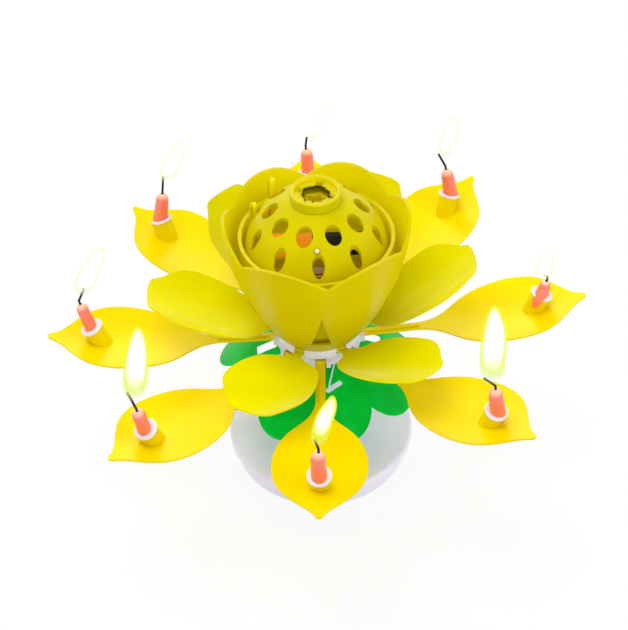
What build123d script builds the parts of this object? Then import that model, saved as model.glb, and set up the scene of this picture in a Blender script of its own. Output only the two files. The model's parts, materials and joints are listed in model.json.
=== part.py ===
from build123d import *
import os
from math import acos, asin, atan, atan2, cos, degrees, hypot, pi, radians, sin, sqrt, tan

# Musical birthday candle: an opened lotus flower that turns on a low round base.
# Millimetres, +Z up, origin under the middle of the foot, +Y away from the viewer.

os.makedirs("parts", exist_ok=True)

# Counts and directions
outer_count = 8
inner_count = 6
lobe_count = 6
grille_count = 10
sepal_count = 9
screw_count = 3
front_angle = 270
flower_turn = 1.5

# Shared clearances
running_fit = 0.05
side_play = 0.3
seat_gap = 0.02
overrun = 1.0

# Base tub and lid
tub_top_radius = 39.55
tub_draft = 1.35
foot_radius = tub_top_radius - tub_draft
tub_wall = 1.6
tub_floor = 2.2
foot_round = 3.6
lid_overhang = 1.65
lid_radius = tub_top_radius + lid_overhang
lid_bottom = 11.2
lid_top = 14.3
lid_wall = 1.6
lid_round = 1.8
lid_rise = 5.6
lid_plateau_radius = 16.0
neck_round = 7.0
neck_radius = 9.0
neck_wall = 1.8
neck_top = 63.8
neck_shoulder = 38.0
neck_cap = 3.0

# Screws
screw_radius = 1.1
screw_head_radius = 2.1
screw_head_height = 1.2
screw_slot_width = 0.6
screw_slot_depth = 0.5
ring_screw_angle = 30
base_screw_circle = 26.0
base_boss_radius = 3.2
base_screw_length = 9.0
ring_screw_circle = 10.4
ring_screw_length = 5.2

# Spindle and the flower's bearing
spindle_radius = 3.0
hub_radius = 7.0
hub_end_gap = 0.3
spindle_tip_radius = 2.2

# Petal ring
ring_radius = 18.2
ring_bore_radius = 13.2
ring_lift = 4.0
ring_bottom = neck_top + ring_lift
ring_tier_height = 3.4
ring_plate = 2.0
upper_ring_radius = 17.8
outer_hinge_radius = 18.2
outer_hinge_rise = 1.8
outer_hinge_height = ring_bottom + outer_hinge_rise
inner_hinge_radius = 16.6
inner_hinge_rise = 6.2
inner_hinge_height = ring_bottom + inner_hinge_rise
ring_cover = 2.0
ring_top = inner_hinge_height + ring_cover
barrel_radius = 1.15
barrel_width = 4.0
trunnion_radius = 0.6
trunnion_length = 1.2
cheek_wall = 0.8

# Outer petals
outer_length = 96.8
outer_straight = 41.5
outer_rise = 3.0
outer_tip_turn = 15.5
outer_half_width = 18.8
outer_dish_radius = 60.0
petal_sheet = 0.9
stalk_half_width = 2.0
nib_half_width = 2.1
rib_width = 1.1
rib_height = 0.7
rib_start = 3.0
rib_end_share = 0.26
outer_skews = (-2.9, -0.3, 0.9, 3.9, 0.3, 0.6, 1.9, -3.3)
outer_lifts = (0.8, 2.2, 1.3, 2.0, -0.5, -1.5, -2.1, -1.1)
stalk_end_share = 0.24
outline_shares = ((0.45, 0.65), (0.675, 1.0), (0.835, 0.78), (0.95, 0.2))
nib_start_share = 0.955

# Candle boss, cup, candle and wick
boss_place_share = 0.7707
boss_place = outer_length * boss_place_share
boss_radius = 4.3
boss_height = 8.2
boss_outward = 20.0
boss_sunk = 4.2
candle_cup_wall = 1.3
candle_cup_flange_radius = 4.75
candle_cup_flange = 0.9
candle_cup_floor = 0.8
candle_radius = 2.5
candle_round = 1.7
candle_stub = 3.2
nipple_radius = 0.95
nipple_height = 1.1
wick_radius = 0.5
wick_sunk = 1.8
wick_rise = 2.0
wick_bend_radius = 1.4
candle_heights = (12.6, 11.6, 5.4, 12.4, 11.6, 12.6, 12.0, 11.0)
candle_leans = ((0, -4), (-6, -4), (11, 0), (-9, 0), (-3, 2), (7, 2), (-13, 0), (-9, -9))
candle_tapers = (0, 0, 9, 0, 0, 0, 1, 0)
wick_lengths = (5.2, 6.4, 3.4, 7.2, 4.6, 7.6, 7.2, 9.6)
wick_leans = ((-14, 0), (-46, -4), (-30, 0), (-27, 4), (8, 2), (7, 0), (24, 0), (-14, -4))

# Inner petals
inner_length = 59.0
inner_straight = 20.0
inner_tip_turn = 14.0
inner_half_width = 18.0
inner_dish_radius = 34.0
inner_sheet = 0.8
inner_stalk_share = 0.075
inner_skews = (7.0, 7.0, 2.0, -1.0, 10.0, 0.0)
inner_slopes = (13.0, 20.0, 29.0, 38.0, 35.0, 18.0)
inner_outline_shares = ((0.2, 0.56), (0.38, 0.88), (0.58, 1.0), (0.78, 0.92), (0.93, 0.58))

# Corolla cup
cup_bottom_radius = 18.0
cup_waist_radius = 28.6
cup_waist_rise = 18.0
cup_waist = (cup_waist_radius, ring_top + cup_waist_rise)
cup_rim_radius = 38.4
cup_depth = 50.0
lobe_rise = 8.0
cup_valley = ring_top + cup_depth
cup_peak = cup_valley + lobe_rise
cup_wall = 1.3
cup_floor = 1.4
lobe_turn = 6.0
window_turn = 2.0
window_width = 8.4
window_height = 24.0
window_rise = 9.5
window_bottom = ring_top + window_rise

# Inner holder and grille dome
holder_floor = 1.8
holder_bottom_radius = 16.2
holder_waist_radius = 24.6
holder_waist_rise = 16.0
holder_waist = (holder_waist_radius, ring_top + holder_waist_rise)
holder_radius = 32.0
holder_shoulder_rise = 34.0
holder_shoulder = ring_top + holder_shoulder_rise
holder_side = 15.0
holder_rim = holder_shoulder + holder_side
holder_wall = 1.5
ledge_depth = 1.6
dome_gap = 0.7
dome_radius = holder_radius - holder_wall - dome_gap
dome_sink = 9.8
dome_middle = holder_rim - dome_sink
dome_skirt = 2.4
dome_wall = 1.4
socket_radius = 10.4
socket_wall = 1.7
socket_rise = 2.5
socket_top = dome_middle + dome_radius + socket_rise
socket_depth = 5.0
grille_upper_share = 0.6174
grille_lower_share = 0.8591
grille_upper_radius = dome_radius * grille_upper_share
grille_lower_radius = dome_radius * grille_lower_share
grille_hole_radius = 3.4
grille_slot_half_width = 2.5
peg_radius = 1.6
peg_angles = (131.0, 162.0)
peg_away_shares = (0.9161, 0.8926)
peg_rise_shares = (0.7819, 0.6812)
spigot_radius = 9.6
starter_sheet = 0.8
tear_shares = (0.5, 0.36, 0.56, 0.4, 0.62, 0.38, 0.5, 0.34, 0.58, 0.42, 0.55)

# Gears: a fixed sun gear, a drive gear that walks round it and the motor's pinion
sun_teeth = 42
walker_teeth = 14
wheel_teeth = 42
motor_teeth = 14
walker_module = 0.5
wheel_module = 0.4
gear_addendum_share = 0.8
gear_dedendum_share = 1.1
gear_thinning = 0.05
pressure_angle = 20
sun_rise = 13.0
sun_bottom = ring_top + sun_rise
sun_width = 4.0
wheel_gap = 1.2
wheel_width = 1.6
walker_heading = 90.0
motor_place = (10.4, 10.0)
axle_radius = 0.8
axle_post_radius = 2.0
axle_seat_depth = 4.0
sun_hub_radius = 5.0

# Gear plate, motor, battery, board, speaker
plate_rise = 21.2
plate_bottom = ring_top + plate_rise
plate_thickness = 1.6
plate_radius = 25.4
motor_radius = 6.4
motor_height = 11.0
motor_shaft_radius = 0.75
motor_shaft_depth = 4.0
pinion_overlap = 0.5
motor_nose_radius = 2.0
battery_radius = 5.25
battery_length = 44.5
battery_tip_radius = 1.9
battery_tip = 1.2
battery_rise = 20.2
battery_centre = (2.0, plate_bottom + battery_rise)
tray_wall = 1.2
tray_side_height = 4.0
tray_leg_radius = 1.4
tray_leg_places = ((-18.0, -2.6), (20.6, -2.6), (-18.0, 6.6), (20.6, 6.6))
spring_wire = 0.4
spring_radius = 3.2
spring_turns = 3
contact_sheet = 0.4
contact_half_width = 3.6
board_size = (24.0, 12.0, 1.2)
board_rise = 11.2
board_centre = (-12.5, plate_bottom + board_rise)
board_post_radius = 1.2
chip_size = (7.0, 4.0, 1.4)
coil_radius = 1.6
coil_height = 3.0
speaker_radius = 10.6
speaker_depth = 3.6
speaker_centre = -12.0
led_radius = 1.3
led_rim_radius = 1.7
led_height = 3.0
led_place_angle = 41.0

# Calyx
sepal_radius = 45.0
sepal_notch_radius = 37.5
sepal_shoulder_share = 0.945
sepal_shoulder_turn_share = 0.62
sepal_turn = 5.0
calyx_sheet = 0.6
calyx_flat_radius = 14.5
calyx_middle_radius = 28.0
calyx_middle_drop = 5.7
calyx_middle = (calyx_middle_radius, ring_bottom - calyx_middle_drop)
calyx_tip_drop = 19.6
calyx_tip_height = ring_bottom - calyx_tip_drop
slit_width = 0.7
slit_inner_radius = 15.8
slit_outer_radius = 27.4
slit_start_angle = 10.0
slit_end_angle = -8.0
drop_inner_radius = 25.4
drop_angle = 4.0
drop_radius = 1.1
calyx_window_count = 2
calyx_window_radius = 22.6
calyx_window = (8.4, 5.2)

saved_names = []
on_base = (Align.CENTER, Align.CENTER, Align.MIN)


def save(shape, name):
    """Label a finished piece and write it to its own file."""
    shape.label = name
    export_step(shape, "parts/" + name + ".step")
    saved_names.append(name)


def polar(radius, angle):
    """A point of the plan at a radius and an angle from +X."""
    return (radius * cos(radians(angle)), radius * sin(radians(angle)))


def corner(sketch, x, y):
    """The sketch's corner nearest to a point."""
    return sketch.vertices().sort_by_distance((x, y, 0))[0]


def arc_radius_at(points, height):
    """Radius, at a height, of the circular profile through three points of the (radius, height) plane."""
    (ax, ay), (bx, by), (cx, cy) = points
    d = 2 * (ax * (by - cy) + bx * (cy - ay) + cx * (ay - by))
    aa, bb, cc = ax * ax + ay * ay, bx * bx + by * by, cx * cx + cy * cy
    ux = (aa * (by - cy) + bb * (cy - ay) + cc * (ay - by)) / d
    uy = (aa * (cx - bx) + bb * (ax - cx) + cc * (bx - ax)) / d
    radius = hypot(ax - ux, ay - uy)
    return ux + sqrt(radius ** 2 - (height - uy) ** 2)


def hinge_plane(radius, height, angle, slope):
    """The petal's own plane: x along the petal, y along the hinge axis, z out of its face."""
    c, s = cos(radians(angle)), sin(radians(angle))
    cl, sl = cos(radians(slope)), sin(radians(slope))
    x, y = polar(radius, angle)
    return Plane(origin=(x, y, height), x_dir=(c * cl, s * cl, sl), z_dir=(-c * sl, -s * sl, cl))


def outer_angle(index):
    """Direction of an outer petal, the front one first and then anticlockwise."""
    return front_angle + flower_turn + 360 / outer_count * index


def inner_angle(index):
    """Direction of an inner petal, the front left one first."""
    return front_angle - 180 / inner_count + 360 / inner_count * index + flower_turn


# Base tub: a shallow round dish with a rounded foot and screw holes
tub_height = lid_top - lid_wall
with BuildPart() as base_tub:
    with BuildSketch(Plane.XZ) as tub_profile:
        with BuildLine():
            Polyline(
                (0, 0),
                (foot_radius, 0),
                (tub_top_radius, tub_height),
                (tub_top_radius - tub_wall, tub_height),
                (foot_radius - tub_wall, tub_floor),
                (0, tub_floor),
                close=True,
            )
        make_face()
        fillet(corner(tub_profile, foot_radius, 0), radius=foot_round)
        fillet(corner(tub_profile, foot_radius - tub_wall, tub_floor), radius=foot_round - tub_wall)
    revolve(axis=Axis.Z)
    with BuildSketch(Plane.XY):
        with PolarLocations(base_screw_circle, screw_count):
            Circle(screw_head_radius + running_fit)
    extrude(amount=screw_head_height, mode=Mode.SUBTRACT)
    with BuildSketch(Plane.XY):
        with PolarLocations(base_screw_circle, screw_count):
            Circle(screw_radius + running_fit)
    extrude(amount=tub_floor + overrun, mode=Mode.SUBTRACT)
save(base_tub.part, "base_tub")

# Base lid: skirt, gently rising top, screw bosses, tall neck and the post that the flower turns on
plateau_height = lid_top + lid_rise
neck_bore_radius = neck_radius - neck_wall
with BuildPart() as base_lid:
    with BuildSketch(Plane.XZ) as lid_profile:
        with BuildLine():
            Polyline(
                (lid_radius, lid_bottom),
                (lid_radius, lid_top),
                (lid_plateau_radius, plateau_height),
                (neck_radius, neck_shoulder),
                (neck_radius, neck_top),
                (neck_bore_radius, neck_top),
                (neck_bore_radius, neck_shoulder),
                (lid_plateau_radius - lid_wall, plateau_height - lid_wall),
                (tub_top_radius + seat_gap, tub_height),
                (tub_top_radius + seat_gap, lid_bottom),
                close=True,
            )
        make_face()
        fillet(corner(lid_profile, lid_radius, lid_top), radius=lid_round)
        fillet(corner(lid_profile, lid_plateau_radius, plateau_height), radius=neck_round)
    revolve(axis=Axis.Z)
    with BuildSketch(Plane.XY.offset(neck_top - neck_cap)):
        Circle(neck_bore_radius + neck_wall / 2)
    extrude(amount=neck_cap)
    with BuildSketch(Plane.XY.offset(neck_top - neck_cap)):
        Circle(spindle_radius)
    extrude(amount=sun_bottom - neck_top + neck_cap)
    with BuildSketch(Plane.XY.offset(sun_bottom)):
        Circle(spindle_tip_radius)
    extrude(amount=sun_width + wheel_gap / 2)
    chamfer(base_lid.faces().sort_by(Axis.Z)[-1].edges(), length=wheel_gap / 4)
    boss_top = lid_top + lid_rise / 2
    with BuildSketch(Plane.XY.offset(tub_floor)):
        with PolarLocations(base_screw_circle, screw_count):
            Circle(base_boss_radius)
    extrude(amount=boss_top - tub_floor - lid_wall / 2)
    with BuildSketch(Plane.XY.offset(tub_floor)):
        with PolarLocations(base_screw_circle, screw_count):
            Circle(screw_radius)
    extrude(amount=base_screw_length, mode=Mode.SUBTRACT)
save(base_lid.part, "base_lid")


def screw_group(name, head_face, circle, turn, shank_length, head_height):
    """Screws with slotted heads below and shanks up, in a ring, as separate solids."""
    with BuildPart() as screws:
        with BuildSketch(Plane.XY.offset(head_face)):
            with PolarLocations(circle, screw_count, start_angle=turn):
                Circle(screw_head_radius)
        extrude(amount=head_height)
        with BuildSketch(Plane.XY.offset(head_face + head_height)):
            with PolarLocations(circle, screw_count, start_angle=turn):
                Circle(screw_radius)
        extrude(amount=shank_length)
        with BuildSketch(Plane.XY.offset(head_face)):
            with PolarLocations(circle, screw_count, start_angle=turn):
                Rectangle(2 * screw_head_radius, screw_slot_width)
        extrude(amount=screw_slot_depth, mode=Mode.SUBTRACT)
    save(screws.part, name)


screw_group(
    "base_screws", 0, base_screw_circle, 0, base_screw_length - 1.5 * screw_slot_depth, screw_head_height
)

def involute_gear_face(module, teeth, bore_radius, turn):
    """The section of a spur gear with stub involute teeth, one tooth pointing along the turn."""
    pitch = module * teeth / 2
    base = pitch * cos(radians(pressure_angle))
    tip = pitch + gear_addendum_share * module
    root = pitch - gear_dedendum_share * module
    half_tooth = (pi * module / 2 - gear_thinning) / 2 / pitch
    pressure = radians(pressure_angle)
    flank_turn = half_tooth + tan(pressure) - pressure
    start = max(base, root)

    def flank(radius):
        """Half angle of the tooth at a radius."""
        local = acos(min(1, base / radius))
        return flank_turn - (tan(local) - local)

    middle = (start + tip) / 2
    with BuildSketch() as face:
        with BuildLine():
            for tooth in range(teeth):
                centre = degrees(2 * pi * tooth / teeth) + turn
                next_centre = degrees(2 * pi * (tooth + 1) / teeth) + turn
                low, mid, high = degrees(flank(start)), degrees(flank(middle)), degrees(flank(tip))
                if start > root:
                    Line(polar(root, centre - low), polar(start, centre - low))
                    Line(polar(start, centre + low), polar(root, centre + low))
                ThreePointArc(polar(start, centre - low), polar(middle, centre - mid), polar(tip, centre - high))
                Line(polar(tip, centre - high), polar(tip, centre + high))
                ThreePointArc(polar(tip, centre + high), polar(middle, centre + mid), polar(start, centre + low))
                Line(polar(root, centre + low), polar(root, next_centre - low))
        make_face()
        Circle(bore_radius, mode=Mode.SUBTRACT)
    return face.sketch


walker_distance = walker_module * (sun_teeth + walker_teeth) / 2
wheel_distance = wheel_module * (wheel_teeth + motor_teeth) / 2
walker_x, walker_y = polar(walker_distance, walker_heading)
motor_reach = hypot(motor_place[0] - walker_x, motor_place[1] - walker_y)
motor_x = walker_x + (motor_place[0] - walker_x) * wheel_distance / motor_reach
motor_y = walker_y + (motor_place[1] - walker_y) * wheel_distance / motor_reach


def mesh_turn(driver_turn, driver_teeth, heading, driven_teeth):
    """Turn of the driven gear that puts its gap on the driver's tooth at rest."""
    driver_share = (heading - driver_turn) * driver_teeth / 360
    return heading + 180 - (0.5 - driver_share) * 360 / driven_teeth


sun_turn = 0
walker_turn = mesh_turn(sun_turn, sun_teeth, walker_heading, walker_teeth)
wheel_turn = 0
motor_heading = degrees(atan2(motor_y - walker_y, motor_x - walker_x))
motor_turn = mesh_turn(wheel_turn, wheel_teeth, motor_heading, motor_teeth)
holder_bottom = ring_top + cup_floor
holder_floor_top = holder_bottom + holder_floor

# Sun gear: fixed on the spindle, with a sleeve that holds the flower down
sun_face = involute_gear_face(walker_module, sun_teeth, spindle_tip_radius, sun_turn)
with BuildPart() as sun_gear:
    with BuildSketch(Plane.XY.offset(sun_bottom)):
        add(sun_face)
    extrude(amount=sun_width)
    with BuildSketch(Plane.XY.offset(holder_floor_top + hub_end_gap)):
        Circle(sun_hub_radius)
        Circle(spindle_radius, mode=Mode.SUBTRACT)
    extrude(amount=sun_bottom - holder_floor_top - hub_end_gap)
save(sun_gear.part, "sun_gear")

# Drive gear: small pinion on the sun gear and large wheel above it, on one axle
wheel_bottom = sun_bottom + sun_width + wheel_gap
walker_face = involute_gear_face(walker_module, walker_teeth, axle_radius + running_fit, walker_turn)
wheel_face = involute_gear_face(wheel_module, wheel_teeth, axle_radius + running_fit, wheel_turn)
with BuildPart() as drive_gear:
    with BuildSketch(Plane(origin=(walker_x, walker_y, sun_bottom))):
        add(walker_face)
    extrude(amount=wheel_bottom - sun_bottom)
    with BuildSketch(Plane(origin=(walker_x, walker_y, wheel_bottom))):
        add(wheel_face)
    extrude(amount=wheel_width)
save(drive_gear.part, "drive_gear")

# Motor pinion on the rotor's shaft
motor_face = involute_gear_face(wheel_module, motor_teeth, motor_shaft_radius, motor_turn)
with BuildPart() as motor_pinion:
    with BuildSketch(Plane(origin=(motor_x, motor_y, wheel_bottom - pinion_overlap))):
        add(motor_face)
    extrude(amount=wheel_width + 2 * pinion_overlap)
    with BuildSketch(Plane(origin=(motor_x, motor_y, wheel_bottom - pinion_overlap))):
        Circle(motor_shaft_radius)
    extrude(amount=plate_bottom + plate_thickness + motor_shaft_depth - wheel_bottom + pinion_overlap)
save(motor_pinion.part, "motor_pinion")

# Petal ring: two tiers of hinge slots round a plate and a long hub
outer_lug_radius = outer_hinge_radius + trunnion_radius + cheek_wall
slot_width = barrel_width + 2 * side_play
cheek_width = slot_width + 2 * (trunnion_length + cheek_wall)
tier_top = ring_bottom + ring_tier_height
with BuildPart() as petal_ring:
    with BuildSketch(Plane.XY.offset(ring_bottom)):
        Circle(ring_radius)
        Circle(ring_bore_radius, mode=Mode.SUBTRACT)
    extrude(amount=ring_tier_height)
    with BuildSketch(Plane.XY.offset(tier_top)):
        Circle(upper_ring_radius)
        Circle(ring_bore_radius, mode=Mode.SUBTRACT)
    extrude(amount=ring_top - tier_top)
    with BuildSketch(Plane.XY.offset(ring_top - ring_plate)):
        Circle(ring_bore_radius)
    extrude(amount=ring_plate)
    with BuildSketch(Plane.XY.offset(neck_top + hub_end_gap)):
        Circle(hub_radius)
    extrude(amount=ring_top - neck_top - hub_end_gap)
    # outer lugs that carry the lower tier's trunnions
    with BuildSketch(Plane.XY.offset(ring_bottom)):
        with PolarLocations(0, outer_count, start_angle=outer_angle(0)):
            with Locations(((ring_bore_radius + outer_lug_radius) / 2, 0)):
                Rectangle(outer_lug_radius - ring_bore_radius, cheek_width)
    extrude(amount=ring_tier_height)
    lug_corners = petal_ring.edges().filter_by(Axis.Z).filter_by(
        lambda edge: hypot(edge.center().X, edge.center().Y) > outer_lug_radius
    )
    chamfer(lug_corners, length=cheek_wall / 2)
    # slots for the barrels and stalks
    with BuildSketch(Plane.XY.offset(ring_bottom)):
        with PolarLocations(0, outer_count, start_angle=outer_angle(0)):
            with Locations((outer_lug_radius, 0)):
                Rectangle(
                    2 * (outer_lug_radius - outer_hinge_radius + barrel_radius + side_play),
                    slot_width,
                )
    extrude(amount=ring_tier_height + side_play, mode=Mode.SUBTRACT)
    inner_slot_depth = upper_ring_radius - inner_hinge_radius + barrel_radius + side_play
    with BuildSketch(Plane.XY.offset(inner_hinge_height - barrel_radius - side_play)):
        with PolarLocations(0, inner_count, start_angle=inner_angle(0)):
            with Locations((upper_ring_radius, 0)):
                Rectangle(2 * inner_slot_depth, slot_width)
    extrude(amount=ring_top, mode=Mode.SUBTRACT)
    # trunnion bearings
    bearing_radius = trunnion_radius + running_fit
    for index in range(outer_count):
        plane = hinge_plane(outer_hinge_radius, outer_hinge_height, outer_angle(index), 0)
        with BuildSketch(Plane(origin=plane.origin, x_dir=plane.x_dir, z_dir=plane.y_dir)):
            Circle(bearing_radius)
        extrude(amount=slot_width / 2 + trunnion_length + side_play, both=True, mode=Mode.SUBTRACT)
    for index in range(inner_count):
        plane = hinge_plane(inner_hinge_radius, inner_hinge_height, inner_angle(index), 0)
        with BuildSketch(Plane(origin=plane.origin, x_dir=plane.x_dir, z_dir=plane.y_dir)):
            Circle(bearing_radius)
        extrude(amount=slot_width / 2 + trunnion_length + side_play, both=True, mode=Mode.SUBTRACT)
    with BuildSketch(Plane.XY.offset(neck_top)):
        Circle(spindle_radius + running_fit)
        with PolarLocations(ring_screw_circle, screw_count, start_angle=ring_screw_angle):
            Circle(screw_radius + running_fit)
    extrude(amount=ring_top, mode=Mode.SUBTRACT)
save(petal_ring.part, "petal_ring")

# Calyx: one thin green sheet of eight drooping sepals, with slits and drop-shaped holes
calyx_top = ring_bottom
notch = polar(sepal_notch_radius, 180 / sepal_count)
shoulder = polar(sepal_radius * sepal_shoulder_share, 180 / sepal_count * sepal_shoulder_turn_share)
with BuildSketch() as sepal_plan:
    with BuildLine():
        Line((0, 0), notch)
        sepal_side = ThreePointArc(notch, shoulder, (sepal_radius, 0))
        ThreePointArc(sepal_side @ 1, (shoulder[0], -shoulder[1]), (notch[0], -notch[1]))
        Line((notch[0], -notch[1]), (0, 0))
    make_face()
with BuildPart() as calyx:
    with BuildSketch(Plane.XZ):
        with BuildLine():
            flat_top = Line((hub_radius + running_fit, calyx_top), (calyx_flat_radius, calyx_top))
            droop_top = ThreePointArc(
                (calyx_flat_radius, calyx_top), calyx_middle, (sepal_radius, calyx_tip_height)
            )
            edge = Line(droop_top @ 1, (sepal_radius, calyx_tip_height - calyx_sheet))
            middle_low = (calyx_middle[0], calyx_middle[1] - calyx_sheet)
            droop_low = ThreePointArc(edge @ 1, middle_low, (calyx_flat_radius, calyx_top - calyx_sheet))
            flat_low = Line(droop_low @ 1, (hub_radius + running_fit, calyx_top - calyx_sheet))
            Line(flat_low @ 1, flat_top @ 0)
        make_face()
    revolve(axis=Axis.Z)
    with BuildSketch(Plane.XY.offset(calyx_tip_height - overrun)):
        Circle(calyx_flat_radius)
        with PolarLocations(0, sepal_count, start_angle=sepal_turn):
            add(sepal_plan.sketch)
    extrude(amount=calyx_top, mode=Mode.INTERSECT)
    with BuildSketch(Plane.XY.offset(calyx_tip_height - overrun)):
        with PolarLocations(0, sepal_count, start_angle=sepal_turn):
            slit_start = polar(slit_inner_radius, slit_start_angle)
            slit_end = polar(slit_outer_radius, slit_end_angle)
            SlotArc(Edge.make_line(slit_start, slit_end), slit_width)
            SlotArc(Edge.make_line(slit_end, polar(drop_inner_radius, drop_angle)), 2 * drop_radius)
        with PolarLocations(calyx_window_radius, calyx_window_count, start_angle=sepal_turn):
            Rectangle(*calyx_window)
    extrude(amount=calyx_top, mode=Mode.SUBTRACT)
save(calyx.part, "calyx")


def blade_spine(straight, length, turn):
    """Wire along the petal's middle: a straight run and then an arc that curls up."""
    with BuildLine(Plane.XZ) as spine:
        run = Line((0, 0), (straight, 0))
        radius = (length - straight) / radians(turn) * 1.02
        JernArc(start=run @ 1, tangent=run % 1, radius=radius, arc_size=turn * 1.1)
    return spine.line


def spine_height(straight, length, turn, place):
    """Height and slope of the petal's middle at a distance along x."""
    radius = (length - straight) / radians(turn) * 1.02
    angle = asin((place - straight) / radius)
    return radius * (1 - cos(angle)), degrees(angle)


def dished_section(half_width, dish_radius, low, high):
    """Strip across the petal between two offsets from its upper face, bowed down in the middle."""
    span = asin(half_width * 1.15 / dish_radius)
    with BuildSketch(Plane.YZ) as section:
        with BuildLine():
            upper = dish_radius - high
            lower = dish_radius - low
            ends = [
                (upper * sin(span), dish_radius - upper * cos(span)),
                (lower * sin(span), dish_radius - lower * cos(span)),
            ]
            Line(ends[0], ends[1])
            ThreePointArc(ends[1], (0, low), (-ends[1][0], ends[1][1]))
            Line((-ends[1][0], ends[1][1]), (-ends[0][0], ends[0][1]))
            ThreePointArc((-ends[0][0], ends[0][1]), (0, high), ends[0])
        make_face()
    return section.sketch


def outer_outline():
    """Plan of the outer petal: narrow stalk, spade-shaped blade and a nib."""
    points = [(outer_length * a, outer_half_width * b) for a, b in outline_shares]
    nib_start = (outer_length * nib_start_share, nib_half_width * 1.55)
    with BuildSketch() as plan:
        with BuildLine():
            Line((0, 0), (0, stalk_half_width))
            stalk = Line((0, stalk_half_width), (outer_length * stalk_end_share, stalk_half_width))
            side = Spline(
                stalk @ 1, *points[:-1], nib_start,
                tangents=[(1, 0), (1, -0.75)],
            )
            nib = Spline(
                side @ 1, (outer_length - nib_half_width * 0.75, nib_half_width * 0.8), (outer_length, 0),
                tangents=[(1, -0.75), (0, -1)],
            )
            mirror(about=Plane.XZ)
        make_face()
    return plan.sketch


def inner_outline():
    """Plan of the inner petal: short stalk and a round-ended blade."""
    points = [(inner_length * a, inner_half_width * b) for a, b in inner_outline_shares]
    with BuildSketch() as plan:
        with BuildLine():
            Line((0, 0), (0, stalk_half_width))
            stalk = Line((0, stalk_half_width), (inner_length * inner_stalk_share, stalk_half_width))
            Spline(stalk @ 1, *points, (inner_length, 0), tangents=[(1, 0.5), (0, -1)])
            mirror(about=Plane.XZ)
        make_face()
    return plan.sketch


# Outer blade with its rib and candle boss, made once in the petal's own plane
boss_z, boss_slope = spine_height(outer_straight, outer_length, outer_tip_turn, boss_place)
boss_lean = boss_outward + outer_rise
boss_axis = (sin(radians(boss_lean)), 0, cos(radians(boss_lean)))
boss_side = (cos(radians(boss_lean)), 0, -sin(radians(boss_lean)))
boss_plane = Plane(origin=(boss_place, 0, boss_z), x_dir=boss_side, z_dir=boss_axis)
outer_spine = blade_spine(outer_straight, outer_length, outer_tip_turn)
outer_plan = outer_outline()
tall = boss_height + 2 * boss_radius
with BuildPart() as boss_body:
    add(dished_section(outer_half_width, outer_dish_radius, -petal_sheet, tall))
    sweep(path=outer_spine)
    with BuildSketch(boss_plane.offset(-boss_radius)):
        Circle(boss_radius)
    extrude(amount=boss_height + boss_radius, mode=Mode.INTERSECT)
with BuildPart() as outer_blade:
    add(dished_section(outer_half_width, outer_dish_radius, -petal_sheet, 0))
    sweep(path=outer_spine)
    with BuildSketch(Plane.XY.offset(-tall)):
        add(outer_plan)
    extrude(amount=3 * tall, mode=Mode.INTERSECT)
    rib_length = outer_length * rib_end_share - rib_start
    with BuildSketch(Plane.XY.offset(-petal_sheet / 2)):
        with Locations((rib_start + rib_length / 2, 0)):
            SlotOverall(rib_length, rib_width)
    extrude(amount=petal_sheet / 2 + rib_height)
    add(boss_body.part)
    with BuildSketch(boss_plane.offset(boss_height - boss_sunk)):
        Circle(boss_radius - candle_cup_wall / 4)
    extrude(amount=boss_sunk + overrun, mode=Mode.SUBTRACT)

inner_spine = blade_spine(inner_straight, inner_length, inner_tip_turn)
inner_plan = inner_outline()
with BuildPart() as inner_blade:
    add(dished_section(inner_half_width, inner_dish_radius, -inner_sheet, 0))
    sweep(path=inner_spine)
    with BuildSketch(Plane.XY.offset(-tall)):
        add(inner_plan)
    extrude(amount=3 * tall, mode=Mode.INTERSECT)


def hinged_petal(blade, skew):
    """A blade turned in its hinge by its skew, joined to the barrel and trunnions."""
    with BuildPart() as petal:
        add(blade, rotation=(0, 0, skew))
        with BuildSketch(Plane.XZ):
            Circle(barrel_radius)
        extrude(amount=barrel_width / 2, both=True)
        with BuildSketch(Plane.XZ):
            Circle(trunnion_radius)
        extrude(amount=barrel_width / 2 + side_play + trunnion_length, both=True)
    return petal.part


def leaning(lean):
    """Unit vector that leans from +Z by one angle towards +X and by another towards +Y."""
    x, y = tan(radians(lean[0])), tan(radians(lean[1]))
    return Vector(x, y, 1).normalized()


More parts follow.
